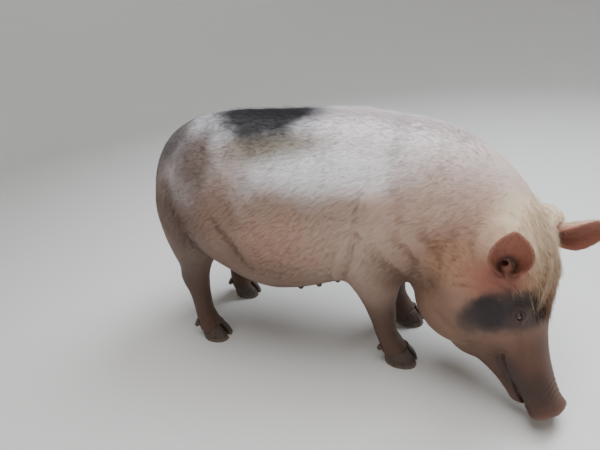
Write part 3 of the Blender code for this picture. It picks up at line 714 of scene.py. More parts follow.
HEAD_FOLDS = (
    (((0.272, -0.076, -0.052), (0.258, -0.086, -0.072), (0.244, -0.094, -0.098)), 0.0045, 0.0034),
    (((0.240, -0.090, -0.060), (0.222, -0.102, -0.085), (0.205, -0.108, -0.112)), 0.0055, 0.0022),
    (((0.205, -0.112, -0.098), (0.160, -0.135, -0.125), (0.105, -0.142, -0.150)), 0.0090, 0.0034),
    (
        ((0.215, -0.082, 0.012), (0.243, -0.074, 0.000), (0.272, -0.068, -0.010), (0.300, -0.062, -0.018)),
        0.0045, 0.0022,
    ),
    (((0.222, -0.072, 0.026), (0.250, -0.062, 0.018), (0.280, -0.055, 0.008)), 0.0035, 0.0014),
    (((0.100, -0.124, -0.010), (0.082, -0.132, -0.035), (0.070, -0.138, -0.065)), 0.0060, 0.0020),
    (((0.118, -0.112, 0.040), (0.098, -0.118, 0.030), (0.080, -0.126, 0.012)), 0.0050, 0.0018),
)


def route_distance(points, route):
    """Distance of each point to a route, and its share of the way along it."""
    best = np.full(len(points), 1e9)
    share = np.zeros(len(points))
    count = len(route) - 1
    for k in range(count):
        a, b = np.array(route[k], float), np.array(route[k + 1], float)
        t = np.clip(((points - a) @ (b - a)) / ((b - a) @ (b - a)), 0, 1)
        far = np.linalg.norm(points - a - t[:, None] * (b - a), axis=1)
        nearer = far < best
        best[nearer] = far[nearer]
        share[nearer] = (k + t[nearer]) / count
    return best, share


def fold_height(points, route, width, depth):
    """Height over the skin of a fold: a groove with a soft lip on each side, fading at its ends."""
    route = np.array(route)
    reach = 5 * width
    near = np.all((points > route.min(0) - reach) & (points < route.max(0) + reach), axis=1)
    height = np.zeros(len(points))
    far, share = route_distance(points[near], route)
    fade = np.sin(np.pi * np.clip(share * 0.86 + 0.07, 0, 1)) ** 0.7
    groove = -np.exp(-((far / width) ** 2))
    lip = 0.50 * np.exp(-(((far - 2.1 * width) / (1.1 * width)) ** 2))
    height[near] = depth * fade * (groove + lip)
    return height


def eye_height(points, side):
    """Wrinkles in rings round the lids."""
    local = (points - np.array(eye_frame(side).translation)) @ np.array(eye_frame(side).to_3x3())
    near = (np.linalg.norm(local, axis=1) < 0.055) & (local[:, 2] > 0)
    height = np.zeros(len(points))
    x, y = local[near, 0], local[near, 1]
    ring = np.sqrt((x / 0.0165) ** 2 + (y / 0.0125) ** 2)
    turn = np.arctan2(y, x)
    wave = np.cos(2 * np.pi * (ring - 1.15) / 0.42 + 0.5 * np.sin(3 * turn))
    fade = np.exp(-(((ring - 1.5) / 0.75) ** 2)) * (0.65 + 0.35 * np.cos(turn * 2))
    height[near] = 0.0010 * wave * fade * ramp(ring, 0.9, 1.2)
    return height


def sculpted(points):
    """Height to add to the skin at each point, both sides of the sow."""
    local = points - np.array(START)
    head = into_head(points)
    height = np.zeros(len(points))
    for side, _ in SIDES:
        flip = np.array((1, -side, 1))
        for route, width, depth in BODY_FOLDS:
            height += fold_height(local, np.array(route) * flip, width, depth)
        for route, width, depth in HEAD_FOLDS:
            height += fold_height(head, np.array(route) * flip, width, depth)
        height += eye_height(points, side)
    mouth = np.array([(u, 0.0, w) for u, w in MOUTH_LINE])
    flat = head * (1, 0, 1)
    near = (head[:, 0] > 0.24) & (head[:, 0] < 0.41) & (head[:, 2] < -0.02) & (head[:, 2] > -0.11)
    far, share = route_distance(flat[near], mouth)
    line = -0.0040 * np.exp(-((far / 0.0026) ** 2))
    lips = 0.0022 * np.exp(-(((far - 0.0075) / 0.0045) ** 2))
    height[near] += line + lips
    bridge = ramp(head[:, 0], 0.33, 0.37) * (1 - ramp(head[:, 0], 0.398, 0.410))
    bridge = bridge * ramp(head[:, 2], -0.040, -0.005)
    bend = 0.006 * np.cos(head[:, 1] * 60) + 0.004 * wavering(head, 0.035, 3.0)
    height += 0.00065 * bridge * np.sin((head[:, 0] + bend) * 2 * np.pi / 0.0125)
    return height


# The skin


def teat_places():
    """Where the teats stand, two rows along the belly, from START."""
    places = []
    for side, _ in SIDES:
        for k in range(TEATS_PER_SIDE):
            out = TEAT_SPREAD - 0.003 * abs(k - 3)
            places.append(Vector((TEAT_FIRST + TEAT_STEP * k, side * out, 0.05)))
    return places


def teats(torso):
    """Small teats, each a blunt cone with a round tip on a low mound."""
    made = bmesh.new()
    for spot in teat_places():
        hit, place, normal, _ = torso.ray_cast(START + spot, Vector((0, 0, 1)))
        if not hit:
            raise RuntimeError(f"no belly above the teat at {spot}")
        out = (normal + Vector((0, math.copysign(0.1, spot.y), -0.6))).normalized()
        turn = out.to_track_quat("Z", "Y").to_matrix().to_4x4()
        for reach, root, tip, length in ((0.003, 0.0165, 0.0120, 0.010), (0.008, 0.0100, 0.0095, 0.012)):
            matrix = Matrix.Translation(place + out * reach) @ turn
            bmesh.ops.create_cone(
                made, cap_ends=True, segments=16, radius1=root, radius2=tip, depth=length, matrix=matrix
            )
        matrix = Matrix.Translation(place + out * 0.0135) @ turn
        bmesh.ops.create_uvsphere(made, u_segments=14, v_segments=10, radius=0.0098, matrix=matrix)
    return made


def far_from_teats(points):
    """0 on the teats and 1 away from them."""
    local = points - np.array(START)
    free = np.ones(len(points))
    low = local[:, 2] < 0.33
    for spot in teat_places():
        away = np.hypot(local[low, 0] - spot.x, local[low, 1] - spot.y)
        free[low] = np.minimum(free[low], ramp(away, 0.010, 0.020))
    return free


def sparse_places(points):
    """Less than 1 in the hollow between the neck and each foreleg, where the coat is thin."""
    local = points - np.array(START)
    free = np.ones(len(points))
    for side, _ in SIDES:
        away = np.linalg.norm((local - (0.410, side * 0.130, 0.345)) / (0.060, 0.090, 0.085), axis=1)
        free *= 1 - 0.82 * np.exp(-(away**2))
    return free


def melted_flesh(grain):
    """All nodes of flesh, each grown a little so that the cuts close, melted into one skin."""
    whole = bmesh.new()
    for name in FLESH:
        made = bmesh.new()
        made.from_mesh(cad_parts[name].data)
        bmesh.ops.remove_doubles(made, verts=made.verts, dist=MERGE_DISTANCE)
        made.normal_update()
        growth = EAR_GROWTH if name.startswith("ear") else FLESH_GROWTH
        moves = [(vert, vert.normal * growth) for vert in made.verts]
        for vert, move in moves:
            vert.co += move
        mesh = bpy.data.meshes.new("grown")
        made.to_mesh(mesh)
        made.free()
        whole.from_mesh(mesh)
    extra = bpy.data.meshes.new("teats")
    teats(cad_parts["torso"]).to_mesh(extra)
    whole.from_mesh(extra)
    mesh = bpy.data.meshes.new("skin")
    whole.to_mesh(mesh)
    whole.free()
    skin = new_object("skin", mesh, "coat", FLESH)
    remesh = skin.modifiers.new("melt", "REMESH")
    remesh.mode = "VOXEL"
    remesh.voxel_size = grain
    return settled(skin)


def largest_shell(mesh):
    """Delete all loose parts of a mesh but the largest."""
    count = len(mesh.vertices)
    edges = np.empty(len(mesh.edges) * 2, np.int32)
    mesh.edges.foreach_get("vertices", edges)
    edges = edges.reshape(-1, 2)
    label = np.arange(count)
    while True:
        low = np.minimum(label[edges[:, 0]], label[edges[:, 1]])
        after = label.copy()
        np.minimum.at(after, edges[:, 0], low)
        np.minimum.at(after, edges[:, 1], low)
        after = after[after]
        if np.array_equal(after, label):
            break
        label = after
    kept = np.bincount(label).argmax()
    if np.all(label == kept):
        return
    made = bmesh.new()
    made.from_mesh(mesh)
    made.verts.ensure_lookup_table()
    stray = [made.verts[i] for i in np.nonzero(label != kept)[0]]
    bmesh.ops.delete(made, geom=stray, context="VERTS")
    made.to_mesh(mesh)
    made.free()


def ease_weights(points):
    """How much each place of the skin is eased: all of the trunk, less on the head, little on fine forms."""
    head = into_head(points)
    local = points - np.array(START)
    weight = np.ones(len(points))
    inside_head = ramp(head[:, 0], -0.02, 0.05) * (local[:, 0] > 0.40)
    weight = np.minimum(weight, 1 - 0.45 * inside_head)
    for side, word in SIDES:
        eye = np.linalg.norm(head - np.array(mirrored(EYE_PLACE, side)), axis=1)
        weight = np.minimum(weight, 0.20 + 0.8 * ramp(eye, 0.022, 0.045))
        root = np.array(EAR_ROOT[word])
        along = np.array(EAR_ALONG[word].normalized())
        reach = (head - root) @ along
        near = np.linalg.norm(head - root - np.clip(reach, 0, 0.16)[:, None] * along, axis=1)
        weight = np.minimum(weight, 0.16 + 0.84 * ramp(near, 0.065, 0.085))
    weight = np.minimum(weight, 0.35 + 0.65 * (1 - ramp(head[:, 0], 0.22, 0.28)))
    weight = np.minimum(weight, 0.40 + 0.60 * ramp(local[:, 2], 0.16, 0.26))
    return np.minimum(weight, 0.10 + 0.90 * far_from_teats(points))


def eased(skin, factor, times, weights):
    group = skin.vertex_groups.new(name="ease")
    levels = np.round(weights, 2)
    for level in np.unique(levels):
        group.add(np.nonzero(levels == level)[0].tolist(), float(level), "REPLACE")
    smooth = skin.modifiers.new("ease", "SMOOTH")
    smooth.factor = factor
    smooth.iterations = times
    smooth.vertex_group = "ease"
    return settled(skin)


def thinned(skin, share):
    """Fewer triangles where the skin is flat, so that its fine forms keep theirs."""
    skin.modifiers.new("thin", "DECIMATE").ratio = share
    return settled(skin)


def coat_inset(points, depth):
    """How far the skin lies inside the solids: the coat's depth, and less where the coat is finer."""
    head = into_head(points)
    local = points - np.array(START)
    inset = np.full(len(points), depth)
    inset -= 0.55 * depth * ramp(head[:, 0], 0.0, 0.12) * (local[:, 0] > 0.35)
    inset *= 1 - 0.85 * ramp(head[:, 0], 0.34, 0.40)
    inset *= 0.45 + 0.55 * ramp(local[:, 2], 0.10, 0.30)
    inset -= 0.0028 * (1 - ramp(local[:, 2], 0.052, 0.068))
    inset *= 0.25 + 0.75 * far_from_teats(points)
    for _, word in SIDES:
        root = np.array(EAR_ROOT[word])
        along = np.array(EAR_ALONG[word].normalized())
        reach = (head - root) @ along
        near = np.linalg.norm(head - root - np.clip(reach, 0.02, 0.16)[:, None] * along, axis=1)
        inset *= 0.12 + 0.88 * ramp(near, 0.055, 0.080)
    return inset


def ear_share(points, word):
    """1 on an ear and 0 off it, soft at its root."""
    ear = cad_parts[f"ear_{word}"].data
    tree = BVHTree.FromPolygons([tuple(v.co) for v in ear.vertices], [tuple(p.vertices) for p in ear.polygons])
    low, high = (np.array(corner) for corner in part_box(f"ear_{word}"))
    near = np.nonzero(np.all((points > low - 0.02) & (points < high + 0.02), axis=1))[0]
    share = np.zeros(len(points), np.float32)
    for index in near:
        far = tree.find_nearest(Vector(points[index]))[3]
        share[index] = 1 - ramp(np.array(far), 0.003, 0.012)
    return share


class SOW_OT_skin(bpy.types.Operator):
    """Melt the nodes of flesh into one skin and sculpt its folds"""

    bl_idname = "sow.skin"
    bl_label = "Skin"

    def execute(self, context):
        sizes = context.scene.sow_sizes
        grain = sizes.grain * 1.0
        skin = melted_flesh(grain)
        largest_shell(skin.data)
        points, _ = vertex_arrays(skin.data)
        eased(skin, EASE_FACTOR, EASE_TIMES, ease_weights(points))
        points, normals = vertex_arrays(skin.data)
        height = sculpted(points)
        height += WAVER_HEIGHT * wavering(points, WAVER_SIZE) * (points[:, 2] > 0.20)
        height -= coat_inset(points, sizes.coat_depth)
        moved(skin.data, points + normals * height[:, None])
        thinned(skin, sizes.skin_share)
        points, _ = vertex_arrays(skin.data)
        for _, word in SIDES:
            share = ear_share(points, word)
            skin.data.attributes.new(f"ear_{word}", "FLOAT", "POINT").data.foreach_set("value", share)
        skin.data.shade_smooth()
        skin.data.materials.clear()
        skin.data.materials.append(skin_material())
        return {"FINISHED"}


# Lids and eyes


def lid_ring(side, turns=72, rows=12):
    """Lids round an eye: from the wet margin on the eyeball out to the skin, which they sink into."""
    radius = (HIGH.x - LOW.x) / 2
    places = []
    for i in range(rows):
        s = i / (rows - 1)
        for j in range(turns):
            turn = 2 * math.pi * j / turns
            upper = math.sin(turn) > 0
            open_x, open_y = SLIT_HALF_LENGTH, (UPPER_OPENING if upper else LOWER_OPENING)
            wide_x, wide_y = LIDS_REACH
            x = math.cos(turn) * (open_x + (wide_x - open_x) * s)
            y = math.sin(turn) * (open_y + (wide_y - open_y) * s)
            far = math.hypot(x, y)
            ball = math.sqrt(max(radius**2 - far**2, 0.0))
            margin = 0.0026 * math.sin(math.pi * min(1.0, s / 0.34)) if s < 0.34 else 0.0
            rim = 0.0006 + 0.0030 * (1 - (1 - min(1.0, s / 0.16)) ** 2)
            crease = -0.0011 * math.exp(-(((s - 0.42) / 0.07) ** 2))
            crease += 0.0006 * math.exp(-(((s - 0.56) / 0.07) ** 2))
            shell = 0.0158 - 0.0030 * s - 8.5 * far**2
            onto_skin = ramp(np.array(s), 0.20, 0.62)
            height = (ball + rim + margin) * (1 - onto_skin) + shell * onto_skin
            sink = 0.0075 * float(ramp(np.array(s), 0.72, 1.0))
            places.append(eye_frame(side) @ Vector((x, y, float(height) + crease - sink)))
    return places, rows, turns


def grid_faces(rows, turns):
    """Quads of a closed band of rings."""
    faces = []
    for i in range(rows - 1):
        for j in range(turns):
            k = (j + 1) % turns
            faces.append((i * turns + j, i * turns + k, (i + 1) * turns + k, (i + 1) * turns + j))
    return faces


class SOW_OT_eyes(bpy.types.Operator):
    """Put in the eyeballs with their corneas and the lids round them"""

    bl_idname = "sow.eyes"
    bl_label = "Eyes and lids"

    def execute(self, context):
        radius = (HIGH.x - LOW.x) / 2
        for side, word in SIDES:
            made = bmesh.new()
            bmesh.ops.create_uvsphere(made, u_segments=48, v_segments=36, radius=radius)
            for vert in made.verts:
                tilt = math.acos(max(-1.0, min(1.0, vert.co.z / radius)))
                vert.co *= 1 + 0.085 * math.exp(-((tilt / 0.62) ** 4))
            bmesh.ops.transform(made, matrix=eye_frame(side), verts=made.verts)
            mesh = bpy.data.meshes.new(f"eyeball_{word}")
            made.to_mesh(mesh)
            made.free()
            mesh.shade_smooth()
            mesh.materials.append(eye_material(side))
            new_object(f"eyeball_{word}", mesh, "eye", (f"eye_{word}",))

            places, rows, turns = lid_ring(side)
            mesh = bpy.data.meshes.new(f"lids_{word}")
            mesh.from_pydata(places, [], grid_faces(rows, turns))
            lids = new_object(f"lids_{word}", mesh, "coat")
            lids.modifiers.new("round", "SUBSURF").levels = 1
            lids.modifiers["round"].render_levels = 1
            settled(lids)
            lids.data.shade_smooth()
            lids.data.materials.clear()
            lids.data.materials.append(bpy.data.materials["skin"])
        return {"FINISHED"}


# Hair


class Roots:
    """Places on the skin that hair grows from, drawn evenly over its area."""

    def __init__(self, skin):
        mesh = skin.data
        mesh.calc_loop_triangles()
        corners = np.empty(len(mesh.loop_triangles) * 3, np.int32)
        mesh.loop_triangles.foreach_get("vertices", corners)
        self.corners = corners.reshape(-1, 3)
        self.places, self.normals = vertex_arrays(mesh)
        a, b, c = (self.places[self.corners[:, k]] for k in range(3))
        self.areas = np.linalg.norm(np.cross(b - a, c - a), axis=1) / 2
        self.middles = (a + b + c) / 3
        self.region = self.regions()
        self.order = self.winding_order()
        self.tree = kdtree.KDTree(len(self.places))
        for index, place in enumerate(self.places.tolist()):
            self.tree.insert(place, index)
        self.tree.balance()

    def nearest(self, points):
        """The skin's vertex nearest to each point."""
        return np.array([self.tree.find(point)[1] for point in points.tolist()])

    def settling(self, places, normals, lie, lengths, lift):
        """How far to move each tuft's tips so that they lie over the skin as its roots' lift asks."""
        wanted = lengths * np.sin(lift)
        tips = places + lie * (lengths * np.cos(lift))[:, None] + normals * wanted[:, None]
        found = self.nearest(tips)
        out = self.normals[found]
        height = ((tips - self.places[found]) * out).sum(1)
        same = ramp((out * normals).sum(1), 0.3, 0.8)
        return out * (np.clip(wanted - height, -0.004, 0.005) * same)[:, None]

    def winding_order(self, bits=9):
        """An order of the triangles in which neighbours stay near, so that even steps give even roots."""
        low = self.middles.min(0)
        cells = ((self.middles - low) / (self.middles - low).max() * (2**bits - 1)).astype(np.int64)
        code = np.zeros(len(cells), np.int64)
        for bit in range(bits):
            for axis in range(3):
                code |= ((cells[:, axis] >> bit) & 1) << (3 * bit + axis)
        return np.argsort(code, kind="stable")

    def regions(self):
        """The CAD node that each triangle of the skin belongs to, by the nearest solid's vertex."""
        names = list(FLESH)
        marks = []
        for number, name in enumerate(names):
            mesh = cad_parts[name].data
            for polygon in mesh.polygons:
                marks.append((polygon.center.copy(), number))
            for vert in mesh.vertices:
                marks.append((vert.co.copy(), number))
        tree = kdtree.KDTree(len(marks))
        for index, (place, _) in enumerate(marks):
            tree.insert(place, index)
        tree.balance()
        number_of = np.array([number for _, number in marks])
        step = 6
        coarse = self.middles[::step]
        found = np.array([tree.find(p)[1] for p in coarse.tolist()])
        return np.repeat(number_of[found], step)[: len(self.middles)]

    def draw(self, rng, names, count, weight=None):
        """Roots on the named nodes: their places and normals."""
        wanted = np.isin(self.region, [FLESH.index(name) for name in names])
        chance = self.areas * wanted * far_from_teats(self.middles) * sparse_places(self.middles)
        if weight is not None:
            chance = chance * weight(self.middles)
        upto = np.cumsum(chance[self.order])
        wanted = (np.arange(count) + rng.random(count)) / count * upto[-1]
        chosen = self.order[np.minimum(np.searchsorted(upto, wanted), len(upto) - 1)]
        r1, r2 = np.sqrt(rng.random(count)), rng.random(count)
        shares = np.stack((1 - r1, r1 * (1 - r2), r1 * r2), axis=1)[:, :, None]
        places = (self.places[self.corners[chosen]] * shares).sum(1)
        normals = unit((self.normals[self.corners[chosen]] * shares).sum(1))
        return places, normals


def hair_lie(places, normals, name):
    """The way the coat lies at each place, along the skin."""
    local = places - np.array(START)
    head = into_head(places)
    x, z = local[:, 0], local[:, 2]
    down = 0.18 + 0.50 * (1 - ramp(z, 0.45, 0.70))
    down += 0.25 * np.exp(-(((x - 0.27) / 0.12) ** 2)) * (1 - ramp(z, 0.55, 0.70))
    down += 0.90 * (1 - ramp(x, -0.38, -0.22))
    trunk = np.stack((-np.ones(len(x)), 0 * x, -down), axis=1)
    facing = out_of_head(np.tile((-1.0, 0.0, -0.30), (len(x), 1)))
    legs = np.tile((-0.12, 0.0, -1.0), (len(x), 1))
    share = (ramp(head[:, 0], -0.10, 0.06) * ramp(x, 0.32, 0.44))[:, None]
    lie = unit(trunk) * (1 - share) + facing * share
    shank = ((1 - ramp(z, 0.25, 0.36)) * (1 - ramp(x, 0.32, 0.44)))[:, None]
    lie = lie * (1 - shank) + legs * shank
    if name.startswith("ear"):
        word = name.split("_")[1]
        lie = out_of_head(np.tile(EAR_ALONG[word].normalized(), (len(x), 1)))
    if name == "tail":
        lie = np.tile((0.0, 0.0, -1.0), (len(x), 1))
    swirl = 0.07 * np.sin(local @ (17.0, 9.0, 13.0)) + 0.04 * np.sin(local @ (-10.0, 25.0, 19.0) + 1.3)
    side = np.cross(normals, lie)
    lie = lie + side * swirl[:, None]
    return unit(lie - normals * (lie * normals).sum(1, keepdims=True))


def unwrap(places, name):
    """The skin's own shape laid flat: round and along the trunk, head, each leg, each ear or the tail."""
    local = places - np.array(START)
    head = into_head(places)
    if name == "head" or name.startswith("ear"):
        u = (head[:, 0] + 0.20) / 0.70
        v = np.arctan2(head[:, 1], head[:, 2] + 0.05) / (2 * math.pi) + 0.5
    elif "leg" in name or name == "tail":
        low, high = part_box(name)
        middle = (np.array(low) + np.array(high)) / 2
        u = (places[:, 2] - low.z) / max(high.z - low.z, 0.01)
        v = np.arctan2(places[:, 1] - middle[1], places[:, 0] - middle[0]) / (2 * math.pi) + 0.5
    else:
        u = (local[:, 0] + 0.45) / 1.10
        v = np.arctan2(local[:, 1], local[:, 2] - 0.46) / (2 * math.pi) + 0.5
    return np.stack((np.clip(u, 0, 1), np.clip(v, 0, 1)), axis=1) * 0.99 + TUFT_PATCH


def hair_mesh(name, spines, widths, ups, shades, marks):
    """Hairs as closed, rather flat, three-sided spikes.

    spines holds each hair's points from root to tip, widths its half width at each point but the
    tip, ups the way its ridge faces, shades its lightness and marks its tuft's place on the unwrap.
    """
    count, points, _ = spines.shape
    rings = points - 1
    ahead = unit(spines[:, 1:] - spines[:, :-1])
    side = unit(np.cross(ahead[:, 0], ups))
    places = np.empty((count, 3 * rings + 1, 3))
    for k in range(rings):
        rise = unit(np.cross(side, ahead[:, k]))
        for j in range(3):
            turn = math.pi / 2 + j * 2 * math.pi / 3
            offset = side * math.cos(turn) + rise * math.sin(turn) * HAIR_FLATNESS
            places[:, 3 * k + j] = spines[:, k] + offset * widths[:, k, None]
    places[:, -1] = spines[:, -1]
    faces = [(0, 2, 1)]
    for k in range(rings - 1):
        for j in range(3):
            a, b = 3 * k + j, 3 * k + (j + 1) % 3
            faces += [(a, b, b + 3), (a, b + 3, a + 3)]
    last = 3 * (rings - 1)
    faces += [(last + j, last + (j + 1) % 3, last + 3) for j in range(3)]
    faces = np.array(faces)
    all_faces = (faces[None] + (np.arange(count) * (3 * rings + 1))[:, None, None]).reshape(-1, 3)
    mesh = triangle_mesh(name, places.reshape(-1, 3), all_faces)
    along = np.concatenate((np.repeat(np.arange(rings) / rings, 3), [1.0]))
    for key, values in (
        ("shade", np.repeat(shades, 3 * rings + 1)),
        ("along", np.tile(along, count)),
    ):
        mesh.attributes.new(key, "FLOAT", "POINT").data.foreach_set("value", values.astype(np.float32))
    spread = np.stack((np.concatenate((np.tile((0.0, 1.0, 0.5), rings), [0.5])), along), axis=1) * TUFT_PATCH
    per_vertex = (marks[:, None] + spread[None]).reshape(-1, 2)
    layer = mesh.uv_layers.new(name="OFBake")
    layer.data.foreach_set("uv", per_vertex[all_faces.ravel()].astype(np.float32).ravel())
    return mesh


def tufts(
    rng, roots, places, normals, lie, lengths, width, lift, hairs, marks,
    spread=0.0042, fan=0.11, bend=0.0,
):
    """Spines, widths, ridges, shades and marks of tufts of hairs round each root."""
    settle = roots.settling(places, normals, lie, lengths, lift)
    lengths = lengths * (1 - 0.55 * ramp(np.linalg.norm(settle, axis=1), 0.0012, 0.0040))
    count = len(places)
    side = np.cross(normals, lie)
    repeat = np.repeat(np.arange(count), hairs)
    total = len(repeat)
    reach = spread * np.sqrt((np.arange(total) % hairs + rng.random(total)) / hairs)
    round_root = rng.uniform(0, 2 * math.pi, count)[repeat] + 2.4 * (np.arange(total) % hairs)
    shift = np.stack((reach * np.cos(round_root), reach * np.sin(round_root)), axis=1)
    root = places[repeat] + lie[repeat] * shift[:, :1] + side[repeat] * shift[:, 1:]
    turn = rng.normal(0, fan, total)
    way = lie[repeat] * np.cos(turn)[:, None] + side[repeat] * np.sin(turn)[:, None]
    length = lengths[repeat] * rng.uniform(0.72, 1.15, total)
    angle = lift[repeat] * rng.uniform(0.55, 1.5, total)
    up = normals[repeat]
    start = root - up * (width * 1.2)
    if bend:
        shares = np.array((0.0, 0.38, 0.72, 1.0))
        rise = np.stack([np.sin(angle) * s * (1 - bend * s) for s in shares], axis=1)
    else:
        shares = np.array((0.0, 1.0))
        rise = np.sin(angle)[:, None] * shares[None]
    spines = (
        start[:, None]
        + way[:, None] * (length * np.cos(angle))[:, None, None] * shares[None, :, None]
        + up[:, None] * (length[:, None] * rise)[:, :, None]
        + settle[repeat, None] * (shares**2)[None, :, None]
    )
    taper = np.array((1.0, 0.85, 0.55))[: len(shares) - 1]
    widths = np.full((total, len(shares) - 1), width / 2) * taper
    tuft_shade = rng.uniform(0.42, 0.58, count)
    shades = np.clip(tuft_shade[repeat] + rng.normal(0, 0.20, total), 0, 1)
    return spines, widths, up, shades, marks[repeat]


def face_length(places):
    """Share of the full hair length on the head: shorter forward to the snout."""
    head = into_head(places)
    return 1.0 - 0.45 * ramp(head[:, 0], 0.05, 0.16) - 0.32 * ramp(head[:, 0], 0.20, 0.36)


def clear_of_face(points):
    """1 where hair may grow: not on the snout's disc, on the eyes or deep in the ears."""
    head = into_head(points)
    free = 1 - ramp(head[:, 0], 0.396, 0.406)
    for side, word in SIDES:
        eye = np.linalg.norm(head - np.array(mirrored(EYE_PLACE, side)), axis=1)
        free = free * ramp(eye, 0.017, 0.024)
        canal = np.linalg.norm(head - np.array(EAR_ROOT[word]), axis=1)
        free = free * ramp(canal, 0.020, 0.040)
    return free


class SOW_OT_coat(bpy.types.Operator):
    """Grow the short coat in tufts that lie along the body"""

    bl_idname = "sow.coat"
    bl_label = "Coat"

    def execute(self, context):
        sizes = context.scene.sow_sizes
        roots = Roots(bpy.data.objects["skin"])
        material = hair_material("coat_hair")
        ear_material = hair_material("ear_hair", (0.46, 0.23, 0.16), 0.70)
        thin = 1
        full = sizes.coat_length

        def quarter(left, front):
            def share(points):
                return ((points[:, 1] >= START.y) == left) * ((points[:, 0] >= START.x) == front)
            return share

        # Each row: the piece, its nodes, how many tufts, their length, hairs in a tuft, and where it grows.
        pieces = (
            ("coat_side_right", ("torso",), 9820, 1.00, 5, quarter(False, False)),
            ("coat_shoulder_right", ("torso",), 9120, 1.00, 5, quarter(False, True)),
            ("coat_side_left", ("torso",), 9760, 1.00, 5, quarter(True, False)),
            ("coat_shoulder_left", ("torso",), 9110, 1.00, 5, quarter(True, True)),
            ("coat_neck", ("neck",), 6850, 1.00, 5, None),
            ("coat_head", ("head",), 9400, 0.80, 5, clear_of_face),
            ("coat_forelegs", ("foreleg_right", "foreleg_left"), 3600, 0.52, 5, None),
            ("coat_hindlegs", ("hindleg_right", "hindleg_left"), 4200, 0.52, 5, None),
            ("coat_tail", ("tail",), 700, 0.70, 5, None),
            ("coat_ear_right", ("ear_right",), 1500, 0.42, 4, clear_of_face),
            ("coat_ear_left", ("ear_left",), 1500, 0.42, 4, clear_of_face),
        )
        for index, (name, nodes, count, share, hairs, weight) in enumerate(pieces):
            rng = np.random.default_rng(sizes.seed + index)
            places, normals = roots.draw(rng, nodes, count // thin, weight)
            lie = hair_lie(places, normals, nodes[0])
            lengths = np.full(len(places), full * share)
            if name == "coat_head":
                lengths = lengths * face_length(places)
            lift = np.full(len(places), sizes.lift)
            marks = unwrap(places, nodes[0])
            drawn = tufts(rng, roots, places, normals, lie, lengths, sizes.hair_width, lift, hairs, marks)
            mesh = hair_mesh(name, *drawn)
            mesh.materials.append(ear_material if "ear" in name else material)
            new_object(name, mesh, "dirty_coat" if "legs" in name else "coat")
        return {"FINISHED"}


